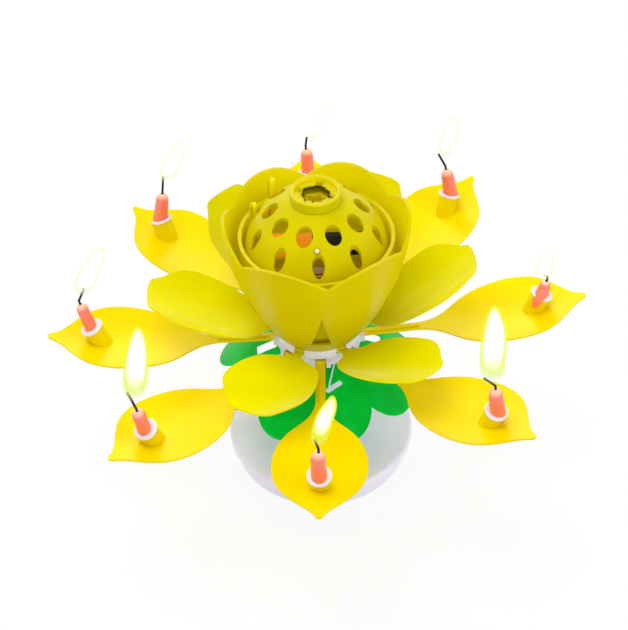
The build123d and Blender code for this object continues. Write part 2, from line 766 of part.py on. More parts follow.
cup_outer_radius = boss_radius - candle_cup_wall / 4 - seat_gap
cup_inner_radius = candle_radius + seat_gap
for index in range(outer_count):
    number = str(index + 1)
    angle = outer_angle(index)
    slope = outer_rise + outer_lifts[index]
    skew = outer_skews[index]
    frame = hinge_plane(outer_hinge_radius, outer_hinge_height, angle, slope).location
    boss_frame = frame * Location((0, 0, 0), (0, 0, skew)) * boss_plane.location
    petal = hinged_petal(outer_blade.part, skew)
    save(petal.moved(frame), "outer_petal_" + number)

    # candle: a stub in the cup and a body that may lean, with a rounded top round the wick
    seat = Plane(boss_frame)
    candle_axis = seat.to_local_coords(seat.origin + leaning(candle_leans[index]))
    wick_axis = seat.to_local_coords(seat.origin + leaning(wick_leans[index]))
    pivot = boss_height + candle_cup_flange
    body_plane = Plane(origin=(0, 0, pivot), z_dir=candle_axis)
    body_height = candle_heights[index]
    top = body_height + nipple_height
    wick_plane = body_plane.offset(top - wick_sunk)
    wick_bend = wick_plane.origin + candle_axis * (wick_sunk + wick_rise)
    wick_end = wick_bend + wick_axis * wick_lengths[index]
    with BuildPart() as candle:
        with BuildSketch(Plane.XY.offset(pivot - candle_stub)):
            Circle(candle_radius)
        extrude(amount=candle_stub)
        with Locations((0, 0, pivot)):
            Sphere(candle_radius)
        with BuildSketch(body_plane):
            Circle(candle_radius)
        extrude(amount=body_height, taper=candle_tapers[index])
        top_face = candle.faces().sort_by_distance((body_plane.offset(body_height)).origin)[0]
        fillet(top_face.edges(), radius=candle_round - body_height * tan(radians(candle_tapers[index])))
        with BuildSketch(body_plane.offset(body_height)):
            Circle(nipple_radius)
        extrude(amount=nipple_height, taper=15)
        with BuildSketch(wick_plane):
            Circle(wick_radius + seat_gap)
        extrude(amount=wick_sunk + overrun, mode=Mode.SUBTRACT)
    save(candle.part.moved(boss_frame), "candle_" + number)

    with BuildPart() as candle_cup:
        with BuildSketch(Plane.XY.offset(boss_height)):
            Circle(candle_cup_flange_radius)
        extrude(amount=candle_cup_flange)
        chamfer(candle_cup.faces().sort_by(Axis.Z)[-1].edges(), length=candle_cup_flange / 3)
        with BuildSketch(Plane.XY.offset(boss_height - boss_sunk + seat_gap)):
            Circle(cup_outer_radius)
        extrude(amount=boss_sunk - seat_gap)
        with BuildSketch(Plane.XY.offset(pivot - candle_stub - seat_gap)):
            Circle(cup_inner_radius)
        extrude(amount=candle_stub + overrun, mode=Mode.SUBTRACT)
        with Locations((0, 0, pivot)):
            Sphere(cup_inner_radius, mode=Mode.SUBTRACT)
        with BuildSketch(body_plane):
            Circle(cup_inner_radius)
        extrude(amount=candle_radius * 2, mode=Mode.SUBTRACT)
    save(candle_cup.part.moved(boss_frame), "candle_cup_" + number)

    with BuildPart() as wick:
        with BuildLine():
            FilletPolyline(wick_plane.origin, wick_bend, wick_end, radius=wick_bend_radius)
        with BuildSketch(wick_plane):
            Circle(wick_radius)
        sweep()
    save(wick.part.moved(boss_frame), "wick_" + number)

for index in range(inner_count):
    frame = hinge_plane(inner_hinge_radius, inner_hinge_height, inner_angle(index), inner_slopes[index]).location
    petal = hinged_petal(inner_blade.part, inner_skews[index])
    save(petal.moved(frame), "inner_petal_" + str(index + 1))

# Corolla cup: a round bowl whose rim waves in six lobes, with triangular windows low down
lobe_angle = front_angle + lobe_turn
half_lobe = cup_rim_radius * sin(radians(180 / lobe_count))
lobe_rise = cup_peak - cup_valley
lobe_radius = (half_lobe ** 2 + lobe_rise ** 2) / (2 * lobe_rise)
cup_points = ((cup_bottom_radius, ring_top), cup_waist, (cup_rim_radius, cup_peak))
with BuildPart() as rim_shape:
    with BuildSketch(Plane.XY.offset(ring_top)):
        Circle(cup_rim_radius + overrun)
    extrude(amount=cup_valley - ring_top)
    for index in range(lobe_count // 2):
        lobe_x, lobe_y = polar(1, lobe_angle + 180 / lobe_count + 360 / lobe_count * index)
        with BuildSketch(Plane(origin=(0, 0, cup_peak - lobe_radius), z_dir=(lobe_x, lobe_y, 0))):
            Circle(lobe_radius)
        extrude(amount=cup_rim_radius + overrun, both=True)
with BuildPart() as corolla_cup:
    with BuildSketch(Plane.XZ):
        with BuildLine():
            outer_wall = ThreePointArc(*cup_points)
            Line(outer_wall @ 1, (cup_rim_radius - cup_wall, cup_peak))
            inner_wall = ThreePointArc(
                (cup_rim_radius - cup_wall, cup_peak),
                (cup_waist[0] - cup_wall, cup_waist[1]),
                (arc_radius_at(cup_points, ring_top + cup_floor) - cup_wall, ring_top + cup_floor),
            )
            floor_line = Line(inner_wall @ 1, (0, ring_top + cup_floor))
            bottom_axis = Line(floor_line @ 1, (0, ring_top))
            Line(bottom_axis @ 1, outer_wall @ 0)
        make_face()
    revolve(axis=Axis.Z)
    with BuildSketch(Plane.XY.offset(ring_top - overrun)):
        Circle(hub_radius)
        with PolarLocations(ring_screw_circle, screw_count, start_angle=ring_screw_angle):
            Circle(screw_radius + running_fit)
    extrude(amount=cup_floor + 2 * overrun, mode=Mode.SUBTRACT)
    for index in range(lobe_count):
        turn = front_angle + window_turn + 360 / lobe_count * index
        window_x, window_y = polar(1, turn)
        with BuildSketch(Plane(origin=(0, 0, 0), x_dir=(-window_y, window_x, 0), z_dir=(window_x, window_y, 0))):
            with BuildLine():
                Polyline(
                    (-window_width / 2, window_bottom),
                    (window_width / 2, window_bottom),
                    (0, window_bottom + window_height),
                    close=True,
                )
            make_face()
        extrude(amount=cup_rim_radius, mode=Mode.SUBTRACT)
    add(rim_shape.part, mode=Mode.INTERSECT)
save(corolla_cup.part, "corolla_cup")

# Inner holder: the white shell inside the cup that carries the works and the dome
holder_points = ((holder_bottom_radius, holder_bottom), holder_waist, (holder_radius, holder_shoulder))
holder_inner_radius = holder_radius - holder_wall
with BuildPart() as inner_holder:
    with BuildSketch(Plane.XZ):
        with BuildLine():
            holder_wall_arc = ThreePointArc(*holder_points)
            side = Line(holder_wall_arc @ 1, (holder_radius, holder_rim))
            rim = Line(side @ 1, (holder_inner_radius, holder_rim))
            inner_side = Line(rim @ 1, (holder_inner_radius, holder_shoulder))
            inner_arc = ThreePointArc(
                inner_side @ 1,
                (holder_waist[0] - holder_wall, holder_waist[1]),
                (arc_radius_at(holder_points, holder_floor_top) - holder_wall, holder_floor_top),
            )
            floor_line = Line(inner_arc @ 1, (0, holder_floor_top))
            bottom_axis = Line(floor_line @ 1, (0, holder_bottom))
            Line(bottom_axis @ 1, holder_wall_arc @ 0)
        make_face()
    revolve(axis=Axis.Z)
    # ledge for the gear plate and ledge for the dome
    with BuildSketch(Plane.XY.offset(plate_bottom - ledge_depth)) as ledge_sketch:
        Circle(arc_radius_at(holder_points, plate_bottom) - holder_wall / 2)
        Circle(plate_radius - ledge_depth, mode=Mode.SUBTRACT)
    extrude(amount=ledge_depth)
    with BuildSketch(Plane.XY.offset(dome_middle - dome_skirt - ledge_depth)):
        Circle(holder_radius - holder_wall / 2)
        Circle(dome_radius - dome_wall, mode=Mode.SUBTRACT)
    extrude(amount=ledge_depth)
    # post that the drive gear stands on, screw bosses and spindle hole
    with BuildSketch(Plane(origin=(walker_x, walker_y, holder_floor_top))):
        Circle(axle_post_radius)
    extrude(amount=sun_bottom - hub_end_gap - holder_floor_top)
    with BuildSketch(Plane(origin=(walker_x, walker_y, sun_bottom - axle_seat_depth))):
        Circle(axle_radius)
    extrude(amount=axle_seat_depth, mode=Mode.SUBTRACT)
    with BuildSketch(Plane.XY.offset(holder_bottom)):
        with PolarLocations(ring_screw_circle, screw_count, start_angle=ring_screw_angle):
            Circle(2 * screw_radius)
    extrude(amount=ring_screw_length)
    with BuildSketch(Plane.XY.offset(holder_bottom - overrun)):
        with PolarLocations(ring_screw_circle, screw_count, start_angle=ring_screw_angle):
            Circle(screw_radius)
        Circle(spindle_radius + side_play)
    extrude(amount=ring_screw_length, mode=Mode.SUBTRACT)
save(inner_holder.part, "inner_holder")

screw_group(
    "ring_screws", ring_top - ring_plate - screw_head_height, ring_screw_circle, ring_screw_angle,
    ring_plate + ring_screw_length - 2 * screw_slot_depth, screw_head_height,
)

# Grille dome: part of a sphere on a short skirt, with the starter cup's hole, holes, slots and pegs
with BuildPart() as grille_dome:
    with Locations((0, 0, dome_middle)):
        Sphere(dome_radius, arc_size1=0, align=on_base)
        Sphere(dome_radius - dome_wall, arc_size1=0, align=on_base, mode=Mode.SUBTRACT)
    with BuildSketch(Plane.XY.offset(dome_middle - dome_skirt)):
        Circle(dome_radius)
        Circle(dome_radius - dome_wall, mode=Mode.SUBTRACT)
    extrude(amount=dome_skirt)
    with BuildSketch(Plane.XY.offset(dome_middle + dome_radius / 2)):
        Circle(spigot_radius + seat_gap)
    extrude(amount=dome_radius, mode=Mode.SUBTRACT)
    with BuildSketch(Plane.XY.offset(dome_middle + overrun)):
        with PolarLocations(grille_upper_radius, grille_count, start_angle=front_angle - 15):
            Circle(grille_hole_radius)
        with PolarLocations(grille_lower_radius, grille_count, start_angle=front_angle + 1):
            Circle(grille_slot_half_width)
    extrude(amount=dome_radius, mode=Mode.SUBTRACT)
    for peg_angle, away_share, rise_share in zip(peg_angles, peg_away_shares, peg_rise_shares):
        peg_x, peg_y = polar(dome_radius * away_share, peg_angle)
        peg_top = dome_middle + dome_radius * rise_share
        foot = dome_middle + dome_radius * 0.1
        with BuildSketch(Plane(origin=(peg_x, peg_y, foot))):
            Circle(peg_radius)
        extrude(amount=peg_top - peg_radius - foot)
        with Locations((peg_x, peg_y, peg_top - peg_radius)):
            Sphere(peg_radius)
    led_z = dome_middle + dome_radius * sin(radians(led_place_angle))
    led_y = -dome_radius * cos(radians(led_place_angle))
    led_plane = Plane(origin=(0, led_y, led_z), x_dir=(1, 0, 0), z_dir=(0, led_y, led_z - dome_middle))
    with BuildSketch(led_plane.offset(-2 * dome_wall)):
        Circle(led_radius + seat_gap)
    extrude(amount=3 * dome_wall, mode=Mode.SUBTRACT)
save(grille_dome.part, "grille_dome")

# Light: a round-nosed lens with a rim behind the dome's wall
with BuildPart() as led:
    with BuildSketch(led_plane.offset(-dome_wall - led_height + led_radius)):
        Circle(led_rim_radius)
    extrude(amount=led_height - led_radius - side_play)
    with BuildSketch(led_plane.offset(-dome_wall - side_play - led_radius / 4)):
        Circle(led_radius)
    extrude(amount=dome_wall + side_play)
    with Locations(led_plane.offset(-led_radius / 4)):
        Sphere(led_radius)
save(led.part, "led")

# Starter cup: stands on the edge of the dome's hole, its thin floor torn open by the starter
spigot_hole = spigot_radius + seat_gap
starter_seat = dome_middle + sqrt(dome_radius**2 - spigot_hole**2) + seat_gap
starter_floor = socket_top - socket_depth
starter_bottom = starter_floor - starter_sheet
with BuildPart() as starter_cup:
    with BuildSketch(Plane.XY.offset(starter_seat)):
        Circle(socket_radius)
    extrude(amount=socket_top - starter_seat)
    fillet(starter_cup.edges().group_by(Axis.Z)[-1], radius=socket_wall / 3)
    with BuildSketch(Plane.XY.offset(starter_bottom)):
        Circle(spigot_radius)
    extrude(amount=starter_seat - starter_bottom)
    with BuildSketch(Plane.XY.offset(starter_floor)):
        Circle(socket_radius - socket_wall)
    extrude(amount=socket_depth, mode=Mode.SUBTRACT)
    with BuildSketch(Plane.XY.offset(starter_bottom)):
        with BuildLine():
            tear = [
                polar((socket_radius - socket_wall) * share, 360 / len(tear_shares) * k)
                for k, share in enumerate(tear_shares)
            ]
            Polyline(*tear, close=True)
        make_face()
    extrude(amount=starter_sheet, mode=Mode.SUBTRACT)
save(starter_cup.part, "starter_cup")

# Gear plate: rests on the holder's ledge, carries the drive gear on a pin below and all the rest above
plate_top = plate_bottom + plate_thickness
board_bottom = board_centre[1]
with BuildPart() as gear_plate:
    with BuildSketch(Plane.XY.offset(plate_bottom)):
        Circle(plate_radius)
        with Locations((motor_x, motor_y)):
            Circle(motor_nose_radius + side_play, mode=Mode.SUBTRACT)
    extrude(amount=plate_thickness)
    with BuildSketch(Plane(origin=(walker_x, walker_y, sun_bottom - axle_seat_depth))):
        Circle(axle_radius)
    extrude(amount=plate_bottom - sun_bottom + axle_seat_depth)
    with BuildSketch(Plane.XY.offset(plate_top)):
        with GridLocations(board_size[0] - 2 * board_post_radius, 0, 2, 1):
            with Locations((0, board_centre[0] + board_size[1] / 2 + board_post_radius)):
                Circle(board_post_radius)
    extrude(amount=board_bottom - plate_top + board_size[2])
save(gear_plate.part, "gear_plate")

with BuildPart() as motor:
    with BuildSketch(Plane(origin=(motor_x, motor_y, plate_top))):
        Circle(motor_radius)
    extrude(amount=motor_height)
    fillet(motor.edges().group_by(Axis.Z)[-1], radius=motor_shaft_radius)
    with BuildSketch(Plane(origin=(motor_x, motor_y, plate_bottom + overrun / 2))):
        Circle(motor_nose_radius)
    extrude(amount=plate_thickness)
    with BuildSketch(Plane(origin=(motor_x, motor_y, plate_top + motor_height))):
        Circle(motor_nose_radius)
    extrude(amount=motor_shaft_radius)
    with BuildSketch(Plane(origin=(motor_x, motor_y, plate_bottom))):
        Circle(motor_shaft_radius + running_fit)
    extrude(amount=plate_thickness + motor_shaft_depth + hub_end_gap, mode=Mode.SUBTRACT)
save(motor.part, "motor")

with BuildPart() as speaker:
    with BuildSketch(Plane(origin=(0, speaker_centre, plate_top))):
        Circle(speaker_radius * 0.55)
    extrude(amount=speaker_depth / 2)
    with BuildSketch(Plane(origin=(0, speaker_centre, plate_top + speaker_depth / 2))):
        Circle(speaker_radius)
    extrude(amount=speaker_depth / 2)
    with BuildSketch(Plane(origin=(0, speaker_centre, plate_top + speaker_depth * 0.8))):
        Circle(speaker_radius * 0.85)
        Circle(speaker_radius * 0.35, mode=Mode.SUBTRACT)
    extrude(amount=speaker_depth, mode=Mode.SUBTRACT)
save(speaker.part, "speaker")

# Circuit board with a chip and three wound parts, held at its back edge
with BuildPart() as circuit_board:
    with BuildSketch(Plane(origin=(0, board_centre[0], board_bottom))):
        Rectangle(board_size[0], board_size[1])
    extrude(amount=board_size[2])
    with BuildSketch(Plane(origin=(0, board_centre[0], board_bottom + board_size[2]))):
        with Locations((-board_size[0] / 4, 0)):
            Rectangle(chip_size[0], chip_size[1])
    extrude(amount=chip_size[2])
    with BuildSketch(Plane(origin=(0, board_centre[0], board_bottom + board_size[2]))):
        with GridLocations(coil_radius * 2.4, 0, 3, 1):
            with Locations((board_size[0] / 5, 0)):
                Circle(coil_radius)
    extrude(amount=coil_height)
save(circuit_board.part, "circuit_board")

# Battery tray: a channel on four legs with end walls
battery_y, battery_z = battery_centre
tray_floor_bottom = battery_z - battery_radius - tray_wall
spring_room = spring_turns * spring_wire * 2
tray_half_length = battery_length / 2 + contact_sheet + spring_room / 2
tray_shift = (battery_tip - spring_room) / 2
with BuildPart() as battery_tray:
    with BuildSketch(Plane(origin=(tray_shift, battery_y, tray_floor_bottom))):
        Rectangle(2 * (tray_half_length + tray_wall), 2 * (battery_radius + tray_wall))
    extrude(amount=tray_wall + tray_side_height)
    with BuildSketch(Plane(origin=(tray_shift, battery_y, tray_floor_bottom))):
        with Locations((tray_half_length + tray_wall / 2, 0), (-tray_half_length - tray_wall / 2, 0)):
            Rectangle(tray_wall, 2 * contact_half_width)
    extrude(amount=tray_wall + battery_radius * 1.7)
    with BuildSketch(Plane(origin=(tray_shift, battery_y, tray_floor_bottom + tray_wall))):
        Rectangle(2 * tray_half_length, 2 * (battery_radius + seat_gap))
    extrude(amount=3 * battery_radius, mode=Mode.SUBTRACT)
    with BuildSketch(Plane.XY.offset(plate_top)):
        with Locations(*tray_leg_places):
            Circle(tray_leg_radius)
    extrude(amount=tray_floor_bottom - plate_top)
save(battery_tray.part, "battery_tray")

battery_left = tray_shift - tray_half_length + contact_sheet + spring_room
with BuildPart() as battery:
    with BuildSketch(Plane(origin=(battery_left, battery_y, battery_z), z_dir=(1, 0, 0))):
        Circle(battery_radius)
    extrude(amount=battery_length - battery_tip)
    fillet(battery.edges(), radius=spring_wire)
    battery_end = battery_left + battery_length - battery_tip
    with BuildSketch(Plane(origin=(battery_end, battery_y, battery_z), z_dir=(1, 0, 0))):
        Circle(battery_tip_radius)
    extrude(amount=battery_tip)
save(battery.part, "battery")

# Contacts: a coil spring on its plate at the left, a plain plate at the right
left_wall = tray_shift - tray_half_length
with BuildPart() as battery_spring:
    with BuildSketch(Plane(origin=(left_wall, battery_y, battery_z), z_dir=(1, 0, 0))):
        Rectangle(2 * contact_half_width, 2 * contact_half_width)
    extrude(amount=contact_sheet)
    coil_pitch = (spring_room - 2 * spring_wire) / spring_turns
    with BuildLine():
        spring_path = Helix(
            pitch=coil_pitch,
            height=coil_pitch * spring_turns,
            radius=spring_radius,
            center=(left_wall + contact_sheet + spring_wire * 0.8, battery_y, battery_z),
            direction=(1, 0, 0),
        )
    with BuildSketch(Plane(origin=spring_path @ 0, z_dir=spring_path % 0)):
        Circle(spring_wire)
    sweep(path=spring_path, is_frenet=True)
save(battery_spring.part, "battery_spring")

with BuildPart() as battery_plate:
    plate_face = tray_shift + tray_half_length - contact_sheet
    with BuildSketch(Plane(origin=(plate_face, battery_y, battery_z), z_dir=(1, 0, 0))):
        Rectangle(2 * contact_half_width, 2 * contact_half_width)
    extrude(amount=contact_sheet)
save(battery_plate.part, "battery_plate")

print(len(saved_names), "pieces")
print("motor centre", round(motor_x, 3), round(motor_y, 3))
print("drive gear centre", round(walker_x, 3), round(walker_y, 3))
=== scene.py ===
"""Finishes, wax, flames, burnt details and stage for the opened flower candle, built round its CAD frame."""

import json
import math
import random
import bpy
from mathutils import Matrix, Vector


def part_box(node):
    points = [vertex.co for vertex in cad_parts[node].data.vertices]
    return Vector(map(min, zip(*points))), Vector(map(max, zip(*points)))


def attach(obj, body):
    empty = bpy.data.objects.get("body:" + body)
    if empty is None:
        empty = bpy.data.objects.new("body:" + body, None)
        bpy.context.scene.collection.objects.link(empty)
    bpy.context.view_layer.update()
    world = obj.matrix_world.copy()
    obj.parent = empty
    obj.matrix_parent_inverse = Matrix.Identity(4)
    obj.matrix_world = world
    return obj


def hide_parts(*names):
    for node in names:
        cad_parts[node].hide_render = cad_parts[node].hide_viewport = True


bl_info = {
    "name": "Musical Birthday Candle",
    "version": (1, 0, 0),
    "blender": (4, 5, 0),
    "location": "3D View > Sidebar > Candle",
    "description": "Dresses an opened flower candle with plastic, wax, flames and a plain stage",
    "category": "Object",
}

import bmesh
import bpy
import numpy as np
from bpy.props import FloatProperty, FloatVectorProperty, IntProperty, PointerProperty
from mathutils import Matrix, Vector, noise

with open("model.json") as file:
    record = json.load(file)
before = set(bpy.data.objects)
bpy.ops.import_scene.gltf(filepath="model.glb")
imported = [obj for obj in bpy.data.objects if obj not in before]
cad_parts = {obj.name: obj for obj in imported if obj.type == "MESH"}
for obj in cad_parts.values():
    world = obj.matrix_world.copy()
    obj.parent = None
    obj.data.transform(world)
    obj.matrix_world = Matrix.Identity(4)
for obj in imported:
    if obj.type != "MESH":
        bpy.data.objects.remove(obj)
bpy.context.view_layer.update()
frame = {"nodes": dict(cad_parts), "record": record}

MM = 0.001
TURN = math.tau
NODE_SLOTS = {row["node"]: row["material_slot"] for row in frame["record"]["subparts"]}
CANDLES = range(1, 9)
PETAL_BODY = "outer_petal_body_%d"
# Tint of the highlights on yellow plastic, which keeps them yellow
YELLOW_SHEEN = (1.0, 0.95, 0.05, 1.0)
PLASTIC_IOR = 1.46
# Points of a spun outline closer than this are one point
WELD_GAP = 0.002 * MM

# By candle number: the flame's lean toward +X, height and width in millimetres, and how strongly its rim shows
FLAMES = {
    1: (5.6, 24.3, 7.1, 1.0),
    2: (-1.0, 38.9, 10.1, 0.85),
    3: (0.2, 14.2, 6.6, 0.35),
    4: (3.6, 20.8, 7.0, 0.35),
    5: (9.0, 19.0, 5.8, 0.3),
    6: (7.0, 20.3, 8.0, 0.35),
    7: (10.4, 23.9, 9.1, 0.35),
    8: (4.5, 37.0, 9.6, 0.9),
}
# Offset of each flame's foot from its wick's tip along +X and +Z, in millimetres
FLAME_FEET = {
    1: (1.1, -1.4),
    2: (3.0, -1.4),
    3: (-0.1, -2.7),
    4: (2.8, -0.9),
    5: (2.0, -1.9),
    6: (1.4, -2.1),
    7: (-1.0, -2.2),
    8: (2.5, -3.0),
}
# Height along a flame and its half width there, both as shares
FLAME_OUTLINE = (
    (0.0, 0.0), (0.0, 0.42), (0.03, 0.66), (0.08, 0.82), (0.14, 0.92), (0.22, 0.98), (0.32, 1.0),
    (0.42, 0.99), (0.52, 0.97), (0.62, 0.91), (0.72, 0.81), (0.8, 0.69), (0.87, 0.55), (0.93, 0.38),
    (0.97, 0.23), (1.0, 0.0),
)
FLAME_STEPS = 28
# Height along a flame and how much of its heart covers what is behind, both as shares
HEART_COVER = ((0.2, 0.0), (0.38, 0.55), (0.58, 1.0), (1.0, 1.0))
# Sampled height at a wick's upper end
WICK_END = 0.8 * MM

# Height along a candle and its radius there, both as shares
CANDLE_OUTLINE = (
    (0.0, 0.0), (0.0, 0.96), (0.03, 1.0), (0.12, 1.0), (0.25, 0.98), (0.4, 0.99), (0.55, 0.97),
    (0.68, 0.98), (0.79, 0.98), (0.86, 0.94), (0.91, 0.86), (0.95, 0.72), (0.98, 0.54), (1.0, 0.4),
    (1.0, 0.0),
)
CANDLE_STEPS = 36
# Edges longer than this share of the candle's height are cut, so that the lumps can show
LONGEST_EDGE = 0.12
# Span of a candle's height over which its upper width is measured, as shares
UPPER_SPAN = (0.55, 0.95)
# Size of one lump in the wax
LUMP_SPAN = 1.6 * MM
# The half melted candle, the direction its wax ran to, and the beads that make up the run: distance from the
# middle line in radii, height as a share of the candle's, and size
MELTED_CANDLE = 3
RUN_SIDE = Vector((-0.62, -0.78, 0.0))
WAX_RUN = (
    (0.25, 0.50, 1.4), (0.50, 0.43, 1.38), (0.75, 0.36, 1.34), (1.00, 0.29, 1.28), (1.25, 0.21, 1.2),
    (1.45, 0.11, 1.08), (1.60, 0.0, 0.95),
)
BEAD_SHARE = 0.7
BEAD_STRETCH = (1.25, 0.9, 0.8)
MELT_GRAIN = 0.18 * MM
MELT_SMOOTHING = 9

# Starter membrane: the starter cup's wall, the film's depth below the rim, its thickness and steps round it
CUP_WALL = 1.75 * MM
MEMBRANE_DEPTH = 1.5 * MM
MEMBRANE_SHEET = 0.3 * MM
TEAR_STEPS = 72
# Half widths of its hole along X and Y as shares of its radius, and the turns of the three long tears
TEAR_OVAL = (0.57, 0.52)
TEAR_NOTCHES = (3.98, 4.5, 5.9)
NOTCH_DEPTH = 0.17
NOTCH_WIDTH = 0.07
# Rings from the rim to the hole: distance from the hole's edge as a share, drop in millimetres, and char
MEMBRANE_RINGS = ((0.2, 0.0, 0.0), (0.09, 0.1, 0.2), (0.05, 0.35, 0.9), (0.0, 0.7, 1.0))
# Scorched dents: directions in degrees, distance from the middle and size as shares, and depth
DENT_ANGLES = (75, 165, 335)
DENT_PLACE = 0.82
DENT_SIZE = 0.16
DENT_DEPTH = 0.5 * MM
DENT_CHAR = 0.4


def colour_property(name, description, default):
    """A colour that a user would change."""
    return FloatVectorProperty(
        name=name, description=description, subtype="COLOR", size=3, min=0.0, max=1.0, default=default
    )


def length_property(name, description, default):
    """A length in metres that a user would change."""
    return FloatProperty(
        name=name, description=description, subtype="DISTANCE", unit="LENGTH", default=default
    )


class PlasticSettings(bpy.types.PropertyGroup):
    """Colours of the moulded plastic pieces, and the painted light on the inner faces of the cup and dome."""

    outer_petal: colour_property("Outer petals", "Bright yellow of the outer petals", (0.89, 0.69, 0.0))
    outer_shade: colour_property("Outer petal shade", "Deeper yellow drifting over them", (0.85, 0.645, 0.0))
    inner_petal: colour_property("Inner petals", "Lemon yellow of the inner petals", (0.82, 0.76, 0.0))
    inner_shade: colour_property("Inner petal shade", "Deeper lemon drifting over them", (0.76, 0.695, 0.0))
    cup: colour_property("Flower cup", "Yellow of the lobed cup", (0.65, 0.55, 0.0))
    cup_shade: colour_property("Flower cup shade", "Deeper yellow of the lobed cup", (0.61, 0.50, 0.0))
    # Painted light: the inner faces of the cup and dome take this lighter yellow and glow faintly with it.
    inner_painted_light: colour_property("Inside of the cup", "Glowing yellow of the inner side", (0.92, 0.80, 0.0))
    inner_painted_glow: FloatProperty(
        name="Inside glow", description="Strength of the glow on the inner side", default=0.1, min=0.0
    )
    dome: colour_property("Dome", "Olive yellow of the dome and its holder", (0.67, 0.585, 0.0))
    dome_shade: colour_property("Dome shade", "Deeper olive of the dome and its holder", (0.58, 0.505, 0.0))
    calyx: colour_property("Sepals", "Bright green of the sepals", (0.0, 0.68, 0.07))
    calyx_shade: colour_property("Sepal shade", "Darker green drifting over them", (0.0, 0.40, 0.02))
    base: colour_property("Base", "Milky white of the base", (0.90, 0.89, 0.95))
    base_shade: colour_property("Base shade", "Greyer white drifting over it", (0.82, 0.81, 0.87))
    disc: colour_property("Candle cups", "White of the cups under the candles", (0.84, 0.80, 0.90))


class WaxSettings(bpy.types.PropertyGroup):
    """Colours and lumps of the candles' wax, and the painted highlight at their tops."""

    top: colour_property("Wax at the top", "Pink of the warm wax near the wick", (0.95, 0.20, 0.15))
    middle: colour_property("Wax", "Coral of the candle", (1.0, 0.19, 0.10))
    foot: colour_property("Wax at the foot", "Orange of the wax near the cup", (1.0, 0.24, 0.05))
    # Painted highlight: pale colour at the very top of each candle, round the wick.
    painted_top_highlight: colour_property("Wax round the wick", "Pale wax drawn up round the wick", (0.95, 0.55, 0.36))
    lump: length_property("Lump height", "How far the wax bulges in and out", 0.00022)
    seed: IntProperty(name="Seed", description="Changes the lumps of the wax", default=3)


class FlameSettings(bpy.types.PropertyGroup):
    """Colours and shape of the flames."""

    rim: colour_property("Flame rim", "Yellow green at the flame's edge", (0.82, 1.0, 0.0))
    low: colour_property("Flame foot", "Grey blue where the flame leaves the wick", (0.62, 0.66, 0.62))
    glow_low: colour_property("Glow near the wick", "Green yellow low in the flame", (0.78, 0.90, 0.12))
    glow: colour_property("Glow", "Warm yellow round the flame's middle", (1.0, 0.93, 0.42))
    core: colour_property("Flame core", "White of the flame's middle", (1.0, 1.0, 0.97))
    core_width: FloatProperty(
        name="Core width", description="Core's width as a share of the flame's", subtype="FACTOR",
        default=0.74,
    )
    glow_width: FloatProperty(
        name="Glow width", description="Glow's width as a share of the flame's", subtype="FACTOR",
        default=0.88,
    )
    core_glow: FloatProperty(
        name="Core glow", description="Strength of the core's light", default=4.6, min=0.0
    )
    waver: length_property("Waver", "How far the flame wavers sideways", 0.0006)


class StageSettings(bpy.types.PropertyGroup):
    """Camera, light and floor."""

    elevation: FloatProperty(
        name="Camera elevation",
        description="Camera's angle above the horizon",
        subtype="ANGLE",
        unit="ROTATION",
        default=math.radians(42.47),
    )
    roll: FloatProperty(
        name="Camera roll",
        description="Camera's turn about its own line of sight",
        subtype="ANGLE",
        unit="ROTATION",
        default=math.radians(-1.5),
    )
    distance: length_property("Camera distance", "From the camera to the point it looks at", 0.6614)
    target: FloatVectorProperty(
        name="Camera target",
        description="Point that the camera looks at",
        subtype="XYZ",
        unit="LENGTH",
        default=(-0.00183, 0.0, 0.08045),
    )
    lens: FloatProperty(
        name="Lens", description="Focal length", subtype="DISTANCE_CAMERA", unit="CAMERA", default=88.89
    )
    floor: colour_property("Floor", "Pale floor", (0.88, 0.88, 0.88))
    floor_size: length_property("Floor size", "Side of the square floor", 8.0)
    key_power: FloatProperty(
        name="Key light", description="Power of the main light", subtype="POWER", unit="POWER",
        default=8.4,
    )
    fill_power: FloatProperty(
        name="Fill light", description="Power of the light on the other side", subtype="POWER", unit="POWER",
        default=3.2,
    )
    back_power: FloatProperty(
        name="Back light", description="Power of the light behind", subtype="POWER", unit="POWER",
        default=4.5,
    )
    sky: FloatProperty(
        name="Room light", description="Strength of the light from all round", default=0.7, min=0.0
    )


def add_node(tree, kind, values=None):
    """New node with some of its inputs set."""
    node = tree.nodes.new(kind)
    for name, value in (values or {}).items():
        node.inputs[name].default_value = value
    return node


def opaque(colour):
    """Colour with an alpha of one."""
    return (*colour, 1.0)


def finish_material(name, roughness, values=None):
    """New material with one Principled shader whose uniform values are set on the shader itself."""
    material = bpy.data.materials.new(name)
    material.use_nodes = True
    tree = material.node_tree
    tree.nodes.clear()
    output = tree.nodes.new("ShaderNodeOutputMaterial")
    shader = add_node(tree, "ShaderNodeBsdfPrincipled", {"Roughness": roughness, **(values or {})})
    tree.links.new(shader.outputs["BSDF"], output.inputs["Surface"])
    return material, tree, shader


def ramp_node(tree, source, stops):
    """Colour ramp read from a 0 to 1 socket, with (place, colour) stops."""
    ramp = tree.nodes.new("ShaderNodeValToRGB")
    elements = ramp.color_ramp.elements
    elements[0].position, elements[0].color = stops[0][0], opaque(stops[0][1])
    elements[1].position, elements[1].color = stops[-1][0], opaque(stops[-1][1])
    for place, colour in stops[1:-1]:
        elements.new(place).color = opaque(colour)
    tree.links.new(source, ramp.inputs["Fac"])
    return ramp


